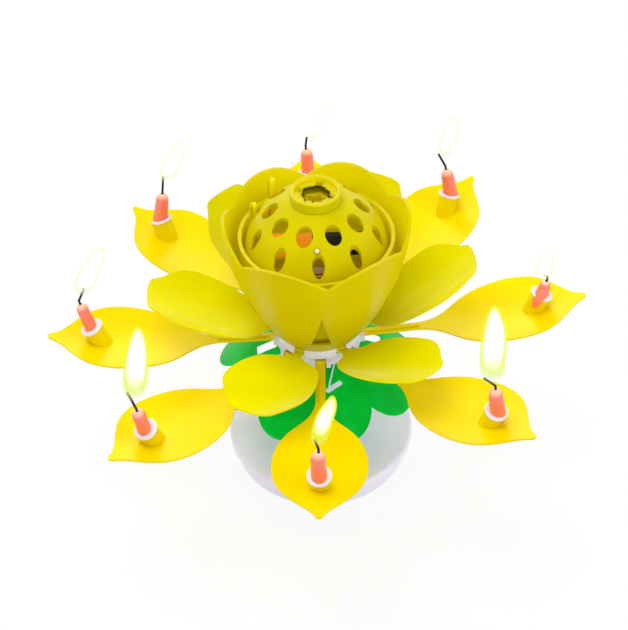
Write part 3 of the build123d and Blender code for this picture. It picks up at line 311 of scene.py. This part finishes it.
def mottle(tree, shader, low, high, scale, stretch=(1.0, 1.0, 1.0)):
    """Base colour that drifts between two colours over the piece."""
    place = tree.nodes.new("ShaderNodeTexCoord")
    mapping = add_node(tree, "ShaderNodeMapping", {"Scale": stretch})
    cloud = add_node(tree, "ShaderNodeTexNoise", {"Scale": scale, "Detail": 3.0, "Roughness": 0.5})
    tree.links.new(place.outputs["Object"], mapping.inputs["Vector"])
    tree.links.new(mapping.outputs["Vector"], cloud.inputs["Vector"])
    ramp = ramp_node(tree, cloud.outputs["Fac"], ((0.3, low), (0.7, high)))
    tree.links.new(ramp.outputs["Color"], shader.inputs["Base Color"])
    return ramp


def paint_light_on_inner_faces(tree, shader, ramp, colour, strength):
    """Painted light: a lighter colour and a faint glow on the faces that look toward the upright axis."""
    place = tree.nodes.new("ShaderNodeTexCoord")
    flat = add_node(tree, "ShaderNodeMapping", {"Scale": (1.0, 1.0, 0.0)})
    outward = tree.nodes.new("ShaderNodeVectorMath")
    outward.operation = "NORMALIZE"
    facing = tree.nodes.new("ShaderNodeVectorMath")
    facing.operation = "DOT_PRODUCT"
    share = add_node(tree, "ShaderNodeMapRange", {"From Min": 0.0, "From Max": -0.5})
    mix = tree.nodes.new("ShaderNodeMix")
    mix.data_type = "RGBA"
    mix.inputs["B"].default_value = opaque(colour)
    tree.links.new(place.outputs["Object"], flat.inputs["Vector"])
    tree.links.new(flat.outputs["Vector"], outward.inputs[0])
    tree.links.new(outward.outputs["Vector"], facing.inputs[0])
    tree.links.new(place.outputs["Normal"], facing.inputs[1])
    tree.links.new(facing.outputs["Value"], share.inputs["Value"])
    tree.links.new(share.outputs["Result"], mix.inputs["Factor"])
    tree.links.new(ramp.outputs["Color"], mix.inputs["A"])
    tree.links.new(mix.outputs["Result"], shader.inputs["Base Color"])
    # The glow is painted light as well: these faces shine in the lighter colour.
    glow = ramp_node(tree, share.outputs["Result"], ((0.0, (0.0, 0.0, 0.0)), (1.0, colour)))
    tree.links.new(glow.outputs["Color"], shader.inputs["Emission Color"])
    shader.inputs["Emission Strength"].default_value = strength


def grain(tree, shader, scale, strength, depth):
    """Fine relief in the surface."""
    place = tree.nodes.new("ShaderNodeTexCoord")
    cloud = add_node(tree, "ShaderNodeTexNoise", {"Scale": scale, "Detail": 4.0})
    bump = add_node(tree, "ShaderNodeBump", {"Strength": strength, "Distance": depth})
    tree.links.new(place.outputs["Object"], cloud.inputs["Vector"])
    tree.links.new(cloud.outputs["Fac"], bump.inputs["Height"])
    tree.links.new(bump.outputs["Normal"], shader.inputs["Normal"])


def attribute_value(tree, name):
    """Number stored on the piece's own vertices."""
    node = tree.nodes.new("ShaderNodeAttribute")
    node.attribute_name = name
    return node.outputs["Fac"]


def paint_slot(slot, material):
    """Gives a finish to every CAD node of one material slot."""
    for name, node_slot in NODE_SLOTS.items():
        if node_slot == slot:
            materials = frame["nodes"][name].data.materials
            materials.clear()
            materials.append(material)


def node_points(name):
    """Places of a CAD node's vertices, each once."""
    vertices = frame["nodes"][name].data.vertices
    places = np.empty(len(vertices) * 3, np.float32)
    vertices.foreach_get("co", places)
    return np.unique(places.reshape(-1, 3).round(6), axis=0)


def node_axis(name):
    """Lowest and highest point of a long node's middle line, and its unit direction."""
    points = node_points(name)
    middle = points.mean(0)
    direction = np.linalg.svd(points - middle, full_matrices=False)[2][0]
    direction *= 1 if direction[2] > 0 else -1
    along = (points - middle) @ direction
    ends = [Vector(middle + direction * reach) for reach in (along.min(), along.max())]
    return ends[0], ends[1], Vector(direction)


def wick_tip(number):
    """Middle of a wick's highest end."""
    points = node_points("wick_%d" % number)
    top = points[points[:, 2] > points[:, 2].max() - WICK_END]
    return Vector(top.mean(0))


def lathe(outline, steps):
    """Closed shape from (radius, height) pairs spun round the Z axis."""
    shape = bmesh.new()
    vertices = [shape.verts.new((radius, 0, height)) for radius, height in outline]
    for low, high in zip(vertices, vertices[1:]):
        shape.edges.new((low, high))
    bmesh.ops.spin(
        shape, geom=shape.verts[:] + shape.edges[:], cent=(0, 0, 0), axis=(0, 0, 1), angle=TURN,
        steps=steps, use_merge=True,
    )
    bmesh.ops.remove_doubles(shape, verts=shape.verts[:], dist=WELD_GAP)
    bmesh.ops.recalc_face_normals(shape, faces=shape.faces[:])
    return shape


def keep_value(mesh, name, values):
    """Stores one number per vertex on a mesh."""
    layer = mesh.attributes.new(name, "FLOAT", "POINT")
    layer.data.foreach_set("value", values)


def add_piece(name, shape, material, smooth=True):
    """Turns a finished bmesh into an object at the origin."""
    mesh = bpy.data.meshes.new(name)
    shape.to_mesh(mesh)
    shape.free()
    mesh.materials.append(material)
    if smooth:
        mesh.shade_smooth()
    piece = bpy.data.objects.new(name, mesh)
    bpy.context.scene.collection.objects.link(piece)
    return piece


class CANDLE_OT_plastic(bpy.types.Operator):
    """Give the petals, cup, dome, sepals and base their plastic"""

    bl_idname = "candle.plastic"
    bl_label = "Plastic"

    def execute(self, context):
        colours = context.scene.candle_plastic
        yellows = (
            ("outer_yellow", colours.outer_shade, colours.outer_petal, 0.26, 0.26, 55.0),
            ("inner_yellow", colours.inner_shade, colours.inner_petal, 0.24, 0.28, 60.0),
            ("shell_yellow", colours.cup_shade, colours.cup, 0.36, 0.15, 60.0),
            ("dome_yellow", colours.dome_shade, colours.dome, 0.34, 0.2, 70.0),
        )
        for slot, low, high, roughness, specular, scale in yellows:
            gloss = {"Specular IOR Level": specular, "Specular Tint": YELLOW_SHEEN, "IOR": PLASTIC_IOR}
            material, tree, shader = finish_material(slot, roughness, gloss)
            ramp = mottle(tree, shader, low, high, scale)
            # The cup and dome get painted light on their inner faces: a lighter colour and a faint glow.
            if slot in ("shell_yellow", "dome_yellow"):
                paint_light_on_inner_faces(tree, shader, ramp, colours.inner_painted_light, colours.inner_painted_glow)
            grain(tree, shader, 420.0, 0.12, 0.08 * MM)
            paint_slot(slot, material)
        material, tree, shader = finish_material(
            "calyx_green", 0.4, {"Specular IOR Level": 0.35, "Specular Tint": (0.1, 1.0, 0.3, 1.0)}
        )
        mottle(tree, shader, colours.calyx_shade, colours.calyx, 45.0)
        grain(tree, shader, 500.0, 0.15, 0.08 * MM)
        paint_slot("calyx_green", material)
        # The faint bluish emission is painted light: it lifts the base's white, though the base is no lamp.
        milky_with_painted_glow = {
            "Transmission Weight": 0.12, "IOR": PLASTIC_IOR, "Coat Weight": 0.3, "Coat Roughness": 0.1,
            "Emission Color": (0.62, 0.45, 1.0, 1.0), "Emission Strength": 0.11,
        }
        material, tree, shader = finish_material("base_clear", 0.35, milky_with_painted_glow)
        mottle(tree, shader, colours.base_shade, colours.base, 30.0, (1.0, 1.0, 2.5))
        grain(tree, shader, 350.0, 0.1, 0.06 * MM)
        paint_slot("base_clear", material)
        whites = (("ring_white", 0.3), ("holder_white", 0.4), ("cup_white", 0.38), ("gear_white", 0.35))
        for slot, roughness in whites:
            material, tree, shader = finish_material(slot, roughness, {"Coat Weight": 0.15})
            mottle(tree, shader, [0.92 * value for value in colours.disc], colours.disc, 90.0)
            grain(tree, shader, 600.0, 0.1, 0.05 * MM)
            paint_slot(slot, material)
        return {"FINISHED"}


class CANDLE_OT_works(bpy.types.Operator):
    """Give the motor, gears, speaker, board and battery their finishes"""

    bl_idname = "candle.works"
    bl_label = "Works"

    def execute(self, context):
        metals = (
            ("screw_steel", (0.60, 0.60, 0.62), 0.28, 1500.0),
            ("gear_brass", (0.70, 0.46, 0.14), 0.25, 1200.0),
            ("motor_steel", (0.62, 0.62, 0.64), 0.30, 700.0),
            ("speaker_steel", (0.48, 0.48, 0.50), 0.34, 700.0),
            ("contact_metal", (0.66, 0.66, 0.66), 0.30, 900.0),
        )
        for slot, colour, roughness, scale in metals:
            material, tree, shader = finish_material(slot, roughness, {"Metallic": 1.0})
            mottle(tree, shader, [0.82 * value for value in colour], colour, scale, (1.0, 1.0, 0.1))
            grain(tree, shader, scale, 0.1, 0.03 * MM)
            paint_slot(slot, material)
        self.paint_board()
        self.paint_battery()
        self.paint_light()
        return {"FINISHED"}

    def paint_light(self):
        """Clear lens that shines pink in its middle and takes the dome's colour at its edge."""
        material, tree, shader = finish_material("led_clear", 0.12, {"Emission Strength": 0.7, "IOR": 1.5})
        low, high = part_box("led")
        nose = Vector((0.5 * (low.x + high.x), low.y, high.z))
        place = tree.nodes.new("ShaderNodeTexCoord")
        away = add_node(tree, "ShaderNodeVectorMath")
        away.operation = "DISTANCE"
        away.inputs[1].default_value = nose
        share = add_node(tree, "ShaderNodeMapRange", {"From Min": 0.0, "From Max": 2.2 * MM})
        tree.links.new(place.outputs["Object"], away.inputs[0])
        tree.links.new(away.outputs["Value"], share.inputs["Value"])
        stops = (
            (0.0, (1.0, 0.80, 0.84)), (0.42, (1.0, 0.55, 0.55)), (0.55, (0.62, 0.45, 0.05)),
            (1.0, (0.40, 0.33, 0.0)),
        )
        ramp = ramp_node(tree, share.outputs["Result"], stops)
        tree.links.new(ramp.outputs["Color"], shader.inputs["Base Color"])
        shine = (
            (0.0, (1.0, 0.80, 0.84)), (0.42, (0.9, 0.30, 0.30)), (0.55, (0.05, 0.03, 0.0)),
            (1.0, (0.0, 0.0, 0.0)),
        )
        glow = ramp_node(tree, share.outputs["Result"], shine)
        tree.links.new(glow.outputs["Color"], shader.inputs["Emission Color"])
        paint_slot("led_clear", material)

    def paint_board(self):
        """Dark green board with olive and orange tracks, which also glows faintly in these colours as painted
        light.
        """
        material, tree, shader = finish_material("board_green", 0.45, {"Emission Strength": 0.2})
        place = tree.nodes.new("ShaderNodeTexCoord")
        tracks = add_node(tree, "ShaderNodeTexWave", {"Scale": 170.0, "Distortion": 1.6, "Detail": 1.0})
        tracks.bands_direction = "Y"
        tree.links.new(place.outputs["Object"], tracks.inputs["Vector"])
        stops = (
            (0.0, (0.03, 0.015, 0.0)), (0.3, (0.05, 0.10, 0.01)), (0.62, (0.22, 0.26, 0.03)),
            (0.8, (0.75, 0.30, 0.02)),
        )
        ramp = ramp_node(tree, tracks.outputs["Fac"], stops)
        tree.links.new(ramp.outputs["Color"], shader.inputs["Base Color"])
        # Painted light: the board glows in its own colours.
        tree.links.new(ramp.outputs["Color"], shader.inputs["Emission Color"])
        grain(tree, shader, 900.0, 0.15, 0.05 * MM)
        paint_slot("board_green", material)

    def paint_battery(self):
        """Black battery sleeve, orange over its left part, which glows faintly in these colours as painted
        light.
        """
        sleeve = {"Specular IOR Level": 0.2, "Emission Strength": 0.3}
        material, tree, shader = finish_material("battery_case", 0.4, sleeve)
        low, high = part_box("battery")
        place = tree.nodes.new("ShaderNodeTexCoord")
        parts = tree.nodes.new("ShaderNodeSeparateXYZ")
        span = add_node(tree, "ShaderNodeMapRange", {"From Min": low.x, "From Max": high.x})
        tree.links.new(place.outputs["Object"], parts.inputs["Vector"])
        tree.links.new(parts.outputs["X"], span.inputs["Value"])
        orange, black = (1.0, 0.36, 0.01), (0.008, 0.008, 0.006)
        stops = ((0.0, orange), (0.44, orange), (0.45, black), (1.0, black))
        ramp = ramp_node(tree, span.outputs["Result"], stops)
        tree.links.new(ramp.outputs["Color"], shader.inputs["Base Color"])
        # Painted light: the orange part glows so that it shows in the dome's shade.
        tree.links.new(ramp.outputs["Color"], shader.inputs["Emission Color"])
        grain(tree, shader, 500.0, 0.08, 0.03 * MM)
        paint_slot("battery_case", material)


class CANDLE_OT_wax(bpy.types.Operator):
    """Model the lumpy wax candles and give the wicks their char"""

    bl_idname = "candle.wax"
    bl_label = "Candles"

    def execute(self, context):
        settings = context.scene.candle_wax
        soft = {
            "Subsurface Weight": 0.25, "Subsurface Scale": 1.2 * MM,
            "Coat Weight": 0.4, "Coat Roughness": 0.15,
        }
        material, tree, shader = finish_material("wax_coral", 0.38, soft)
        # The last stop is the painted highlight at the candle's top, round the wick.
        stops = ((0.0, settings.foot), (0.45, settings.middle), (0.86, settings.top), (0.97, settings.painted_top_highlight))
        ramp = ramp_node(tree, attribute_value(tree, "wax_height"), stops)
        tree.links.new(ramp.outputs["Color"], shader.inputs["Base Color"])
        grain(tree, shader, 900.0, 0.25, 0.1 * MM)
        for number in CANDLES:
            self.make_candle(number, material, settings)
        char, tree, shader = finish_material("wick_black", 0.85)
        mottle(tree, shader, (0.002, 0.002, 0.003), (0.02, 0.018, 0.016), 1200.0)
        grain(tree, shader, 2500.0, 0.6, 0.1 * MM)
        paint_slot("wick_black", char)
        return {"FINISHED"}

    def make_candle(self, number, material, settings):
        """One candle, a little lumpy, with a painted highlight in pale colour round the wick."""
        node = "candle_%d" % number
        foot, top, direction = node_axis(node)
        points = node_points(node)
        offsets = points - np.array(foot)
        along = offsets @ np.array(direction)
        away = np.linalg.norm(offsets - np.outer(along, np.array(direction)), axis=1)
        height = (top - foot).length
        lower_half = away[along < 0.5 * height]
        radius = float(np.median(lower_half)) if len(lower_half) else away.max()
        radius = max(radius, 0.9 * away.max())
        taper = 1.0
        upper = away[(along > UPPER_SPAN[0] * height) & (along < UPPER_SPAN[1] * height)]
        if len(upper):
            taper = min(1.0, float(upper.max()) / radius)
        outline = []
        for share, width in CANDLE_OUTLINE:
            narrowing = 1 - (1 - taper) * share
            outline.append((radius * width * narrowing, height * share))
        shape = lathe(outline, CANDLE_STEPS)
        long_edges = [edge for edge in shape.edges if edge.calc_length() > LONGEST_EDGE * height]
        bmesh.ops.subdivide_edges(shape, edges=long_edges, cuts=1, use_grid_fill=True)
        for vertex in shape.verts:
            share = vertex.co.z / height
            seed = Vector((number * 7.1 + settings.seed, 0.0, 0.0))
            swell = noise.noise(vertex.co / LUMP_SPAN + seed) * settings.lump
            side = Vector((vertex.co.x, vertex.co.y, 0.0))
            if side.length > 0.1 * radius:
                vertex.co += side.normalized() * swell * min(1.0, 4 * share)
        tilt = direction.to_track_quat("Z", "Y")
        if number == MELTED_CANDLE:
            self.add_drip(shape, radius, height, tilt.inverted() @ RUN_SIDE)
        shape.transform(Matrix.Translation(foot) @ tilt.to_matrix().to_4x4())
        piece = add_piece("wax_%d" % number, shape, material)
        if number == MELTED_CANDLE:
            self.melt_together(piece)
        values = [(Vector(vertex.co) - foot).dot(direction) / height for vertex in piece.data.vertices]
        keep_value(piece.data, "wax_height", values)
        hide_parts(node)
        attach(piece, PETAL_BODY % number)

    def melt_together(self, piece):
        """Joins the candle and the run of wax into one smooth body."""
        remesh = piece.modifiers.new("Remesh", "REMESH")
        remesh.mode = "VOXEL"
        remesh.voxel_size = MELT_GRAIN
        smooth = piece.modifiers.new("Smooth", "SMOOTH")
        smooth.factor = 0.5
        smooth.iterations = MELT_SMOOTHING
        finished = piece.evaluated_get(bpy.context.evaluated_depsgraph_get())
        merged = bpy.data.meshes.new_from_object(finished)
        piece.modifiers.clear()
        merged.name = piece.data.name + "_melted"
        piece.data = merged
        piece.data.shade_smooth()

    def add_drip(self, shape, radius, height, side):
        """Wax that has run down one side of the melted candle."""
        for away, lift, size in WAX_RUN:
            made = bmesh.ops.create_icosphere(shape, subdivisions=3, radius=radius * size * BEAD_SHARE)
            bmesh.ops.scale(shape, vec=BEAD_STRETCH, verts=made["verts"])
            place = Vector((side.x * radius * away, side.y * radius * away, lift * height))
            bmesh.ops.translate(shape, vec=place, verts=made["verts"])


class CANDLE_OT_flames(bpy.types.Operator):
    """Light the eight candles"""

    bl_idname = "candle.flames"
    bl_label = "Flames"

    def execute(self, context):
        settings = context.scene.candle_flame
        heart = self.flame_material("flame_core", (settings.core,) * 3, HEART_COVER, settings.core_glow)
        for number in CANDLES:
            strength = FLAMES[number][3]
            rim = [1 - (1 - value) * (0.6 + 0.4 * strength) for value in settings.rim]
            glow_low = [1 - (1 - value) * strength ** 2 for value in settings.glow_low]
            glow = [1 - (1 - value) * strength ** 2 for value in settings.glow]
            rim_cover = (
                (0.02, 0.03), (0.2, 0.15 + 0.3 * strength), (0.6, 0.15 + 0.45 * strength),
                (1.0, 0.15 + 0.65 * strength),
            )
            glow_cover = ((0.06, 0.0), (0.2, 0.3 + 0.3 * strength), (0.5, 0.45), (1.0, 0.5))
            layers = (
                ("flame_%d", (settings.low, rim, rim), rim_cover, 1.0, 0.0, 1.0),
                ("flame_glow_%d", (glow_low, glow_low, glow), glow_cover, settings.glow_width, 0.05, 0.985),
            )
            for name, colours, cover, width, start, end in layers:
                material = self.flame_material(name % number, colours, cover, 1.0)
                self.make_flame(number, name % number, material, width, start, end, settings)
            width = settings.core_width * (1.08 - 0.14 * strength)
            start = 0.1 + 0.08 * strength
            self.make_flame(number, "flame_heart_%d" % number, heart, width, start, 0.95, settings)
        return {"FINISHED"}

    def flame_material(self, name, colours, cover, strength):
        """Glow without shading, coloured and faded by the height along the flame."""
        dark = {"Specular IOR Level": 0.0, "Emission Strength": strength, "Base Color": (0.0, 0.0, 0.0, 1.0)}
        material, tree, shader = finish_material(name, 1.0, dark)
        low, middle, high = colours
        height = attribute_value(tree, "flame_height")
        glow = ramp_node(tree, height, ((0.0, low), (0.2, middle), (0.45, high), (1.0, high)))
        tree.links.new(glow.outputs["Color"], shader.inputs["Emission Color"])
        fade = ramp_node(tree, height, tuple((place, (value,) * 3) for place, value in cover))
        tree.links.new(fade.outputs["Color"], shader.inputs["Alpha"])
        return material

    def make_flame(self, number, name, material, width_share, start, end, settings):
        """Leaning drop of flame between two shares of the flame's height."""
        lean, height, width, _ = FLAMES[number]
        offset_x, offset_z = FLAME_FEET[number]
        foot = wick_tip(number) + Vector((offset_x * MM, 0.0, offset_z * MM))
        outline = []
        for share, half in FLAME_OUTLINE:
            reach = start + (end - start) * share
            outline.append((0.5 * width * MM * half * width_share, height * MM * reach))
        shape = lathe(outline, FLAME_STEPS)
        for vertex in shape.verts:
            share = vertex.co.z / (height * MM)
            vertex.co.x += lean * MM * share ** 1.15
            vertex.co.x += noise.noise(Vector((number * 3.7, 0.0, share * 2.2))) * settings.waver * share * 2
            vertex.co.y += noise.noise(Vector((number * 5.3, 9.0, share * 2.2))) * settings.waver * share * 2
        shape.transform(Matrix.Translation(foot))
        piece = add_piece(name, shape, material)
        values = [(vertex.co.z - foot.z) / (height * MM) for vertex in piece.data.vertices]
        keep_value(piece.data, "flame_height", values)
        piece.visible_shadow = False
        piece.visible_glossy = False
        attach(piece, PETAL_BODY % number)


class CANDLE_OT_starter(bpy.types.Operator):
    """Model the torn and burnt membrane in the starter socket"""

    bl_idname = "candle.starter"
    bl_label = "Starter membrane"

    def execute(self, context):
        low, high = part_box("starter_cup")
        radius = 0.5 * (high.x - low.x) - CUP_WALL
        middle = Vector((0.5 * (low.x + high.x), 0.5 * (low.y + high.y), high.z - MEMBRANE_DEPTH))
        draw = random.Random(11)
        shape = bmesh.new()
        burn = shape.verts.layers.float.new("burn")
        bmesh.ops.create_circle(shape, segments=TEAR_STEPS, radius=radius)
        edges = shape.edges[:]
        tears = []
        for index in range(TEAR_STEPS):
            turn = TURN * index / TEAR_STEPS
            oval = 1 / math.hypot(math.cos(turn) / TEAR_OVAL[0], math.sin(turn) / TEAR_OVAL[1])
            nearness = max(math.exp(-((turn - place) / NOTCH_WIDTH) ** 2) for place in TEAR_NOTCHES)
            wave = 0.035 * math.sin(5 * turn + 1.9)
            tears.append(oval + wave + draw.uniform(-0.03, 0.03) + NOTCH_DEPTH * nearness)
        for spread, drop, char in MEMBRANE_RINGS:
            made = bmesh.ops.extrude_edge_only(shape, edges=edges)
            edges = [item for item in made["geom"] if isinstance(item, bmesh.types.BMEdge)]
            for vertex in [item for item in made["geom"] if isinstance(item, bmesh.types.BMVert)]:
                turn = math.atan2(vertex.co.y, vertex.co.x)
                away = radius * min(tears[round(turn / TURN * TEAR_STEPS) % TEAR_STEPS] + spread, 0.97)
                lift = -drop * MM + draw.uniform(-0.08, 0.08) * MM
                vertex.co = (away * math.cos(turn), away * math.sin(turn), lift)
                vertex[burn] = char
        for angle in DENT_ANGLES:
            turn = math.radians(angle)
            spot = Vector((math.cos(turn), math.sin(turn), 0.0)) * DENT_PLACE * radius
            for vertex in shape.verts:
                if (vertex.co - spot).to_2d().length < DENT_SIZE * radius:
                    vertex[burn] = max(vertex[burn], DENT_CHAR)
                    vertex.co.z -= DENT_DEPTH
        made = bmesh.ops.extrude_face_region(shape, geom=shape.faces[:], use_keep_orig=True)
        lower = [item for item in made["geom"] if isinstance(item, bmesh.types.BMVert)]
        bmesh.ops.translate(shape, vec=(0, 0, -MEMBRANE_SHEET), verts=lower)
        bmesh.ops.recalc_face_normals(shape, faces=shape.faces[:])
        shape.transform(Matrix.Translation(middle))
        tinted = {"Specular IOR Level": 0.35, "Specular Tint": YELLOW_SHEEN}
        material, tree, shader = finish_material("burnt_film", 0.5, tinted)
        stops = (
            (0.0, (0.62, 0.51, 0.0)), (0.35, (0.36, 0.30, 0.0)), (0.7, (0.10, 0.06, 0.0)),
            (1.0, (0.03, 0.015, 0.0)),
        )
        ramp = ramp_node(tree, attribute_value(tree, "burn"), stops)
        tree.links.new(ramp.outputs["Color"], shader.inputs["Base Color"])
        grain(tree, shader, 1400.0, 0.4, 0.15 * MM)
        piece = add_piece("starter_membrane", shape, material, smooth=False)
        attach(piece, "flower")
        return {"FINISHED"}


class CANDLE_OT_stage(bpy.types.Operator):
    """Set up the floor, the light and the camera"""

    bl_idname = "candle.stage"
    bl_label = "Stage"

    def execute(self, context):
        settings = context.scene.candle_stage
        self.make_floor(settings)
        self.make_world(settings)
        lamps = (
            ("key_light", (-0.30, -0.08, 1.5), 1.0, settings.key_power),
            ("fill_light", (1.0, -0.55, 0.75), 0.8, settings.fill_power),
            ("back_light", (-0.2, 1.05, 0.85), 0.9, settings.back_power),
        )
        aim = Vector(settings.target)
        for name, place, size, power in lamps:
            lamp = bpy.data.lights.new(name, "AREA")
            lamp.shape = "DISK"
            lamp.size = size
            lamp.energy = power
            holder = bpy.data.objects.new(name, lamp)
            holder.location = place
            holder.rotation_euler = (aim - Vector(place)).to_track_quat("-Z", "Y").to_euler()
            context.scene.collection.objects.link(holder)
        self.make_camera(settings)
        context.scene.view_settings.view_transform = "Standard"
        return {"FINISHED"}

    def seen_directly(self, tree):
        """One where the surface is seen directly, in a reflection or through glass, else zero."""
        path = tree.nodes.new("ShaderNodeLightPath")
        total = path.outputs["Is Camera Ray"]
        for name in ("Is Glossy Ray", "Is Transmission Ray"):
            larger = tree.nodes.new("ShaderNodeMath")
            larger.operation = "MAXIMUM"
            tree.links.new(total, larger.inputs[0])
            tree.links.new(path.outputs[name], larger.inputs[1])
            total = larger.outputs["Value"]
        return total

    def make_floor(self, settings):
        """Plain pale floor that keeps the object's shadow."""
        shape = bmesh.new()
        bmesh.ops.create_grid(shape, x_segments=1, y_segments=1, size=0.5 * settings.floor_size)
        bmesh.ops.translate(shape, vec=(0, 0, -0.05 * MM), verts=shape.verts[:])
        material, tree, shader = finish_material("floor_paper", 0.9, {"Base Color": opaque(settings.floor)})
        output = next(node for node in tree.nodes if node.type == "OUTPUT_MATERIAL")
        glow = add_node(tree, "ShaderNodeEmission", {"Color": (1, 1, 1, 1), "Strength": 1.0})
        share = tree.nodes.new("ShaderNodeMath")
        share.operation = "MULTIPLY"
        share.inputs[1].default_value = 0.86
        tree.links.new(self.seen_directly(tree), share.inputs[0])
        mix = tree.nodes.new("ShaderNodeMixShader")
        tree.links.new(share.outputs["Value"], mix.inputs["Fac"])
        tree.links.new(shader.outputs["BSDF"], mix.inputs[1])
        tree.links.new(glow.outputs["Emission"], mix.inputs[2])
        tree.links.new(mix.outputs["Shader"], output.inputs["Surface"])
        add_piece("floor", shape, material, smooth=False)

    def make_world(self, settings):
        """Even room light, seen as white."""
        world = bpy.data.worlds.new("room")
        bpy.context.scene.world = world
        world.use_nodes = True
        tree = world.node_tree
        tree.nodes.clear()
        output = tree.nodes.new("ShaderNodeOutputWorld")
        sky = add_node(tree, "ShaderNodeBackground", {"Color": (1, 1, 1, 1), "Strength": settings.sky})
        white = add_node(tree, "ShaderNodeBackground", {"Color": (1, 1, 1, 1), "Strength": 1.0})
        mix = tree.nodes.new("ShaderNodeMixShader")
        tree.links.new(self.seen_directly(tree), mix.inputs["Fac"])
        tree.links.new(sky.outputs["Background"], mix.inputs[1])
        tree.links.new(white.outputs["Background"], mix.inputs[2])
        tree.links.new(mix.outputs["Shader"], output.inputs["Surface"])

    def make_camera(self, settings):
        """Camera at the photograph's angle."""
        rise, roll = settings.elevation, settings.roll
        forward = Vector((0.0, math.cos(rise), -math.sin(rise)))
        level_up = Vector((0.0, math.sin(rise), math.cos(rise)))
        level_right = Vector((1.0, 0.0, 0.0))
        right = level_right * math.cos(roll) + level_up * math.sin(roll)
        up = level_up * math.cos(roll) - level_right * math.sin(roll)
        place = Vector(settings.target) - forward * settings.distance
        turn = Matrix((right, up, -forward)).transposed().to_4x4()
        camera = bpy.data.cameras.new("camera")
        camera.lens = settings.lens
        camera.sensor_width = 36.0
        camera.clip_start = 10 * MM
        camera.clip_end = 50.0
        holder = bpy.data.objects.new("camera", camera)
        holder.matrix_world = Matrix.Translation(place) @ turn
        bpy.context.scene.collection.objects.link(holder)
        bpy.context.scene.camera = holder


class CANDLE_PT_panel(bpy.types.Panel):
    """Steps that dress the candle, with their sizes and colours"""

    bl_label = "Birthday Candle"
    bl_idname = "CANDLE_PT_panel"
    bl_space_type = "VIEW_3D"
    bl_region_type = "UI"
    bl_category = "Candle"

    def draw(self, context):
        for operator, group in STEPS:
            box = self.layout.box()
            box.operator(operator.bl_idname)
            if group:
                settings = getattr(context.scene, group)
                for name in settings.__annotations__:
                    box.prop(settings, name)


STEPS = (
    (CANDLE_OT_plastic, "candle_plastic"),
    (CANDLE_OT_works, None),
    (CANDLE_OT_wax, "candle_wax"),
    (CANDLE_OT_flames, "candle_flame"),
    (CANDLE_OT_starter, None),
    (CANDLE_OT_stage, "candle_stage"),
)
GROUPS = {
    "candle_plastic": PlasticSettings,
    "candle_wax": WaxSettings,
    "candle_flame": FlameSettings,
    "candle_stage": StageSettings,
}


def register():
    for name, group in GROUPS.items():
        bpy.utils.register_class(group)
        setattr(bpy.types.Scene, name, PointerProperty(type=group))
    for operator, _ in STEPS:
        bpy.utils.register_class(operator)
    bpy.utils.register_class(CANDLE_PT_panel)


def unregister():
    bpy.utils.unregister_class(CANDLE_PT_panel)
    for operator, _ in reversed(STEPS):
        bpy.utils.unregister_class(operator)
    for name, group in GROUPS.items():
        delattr(bpy.types.Scene, name)
        bpy.utils.unregister_class(group)


def main():
    register()
    bpy.ops.candle.plastic()
    bpy.ops.candle.works()
    bpy.ops.candle.wax()
    bpy.ops.candle.flames()
    bpy.ops.candle.starter()
    bpy.ops.candle.stage()


if __name__ == "__main__":
    main()
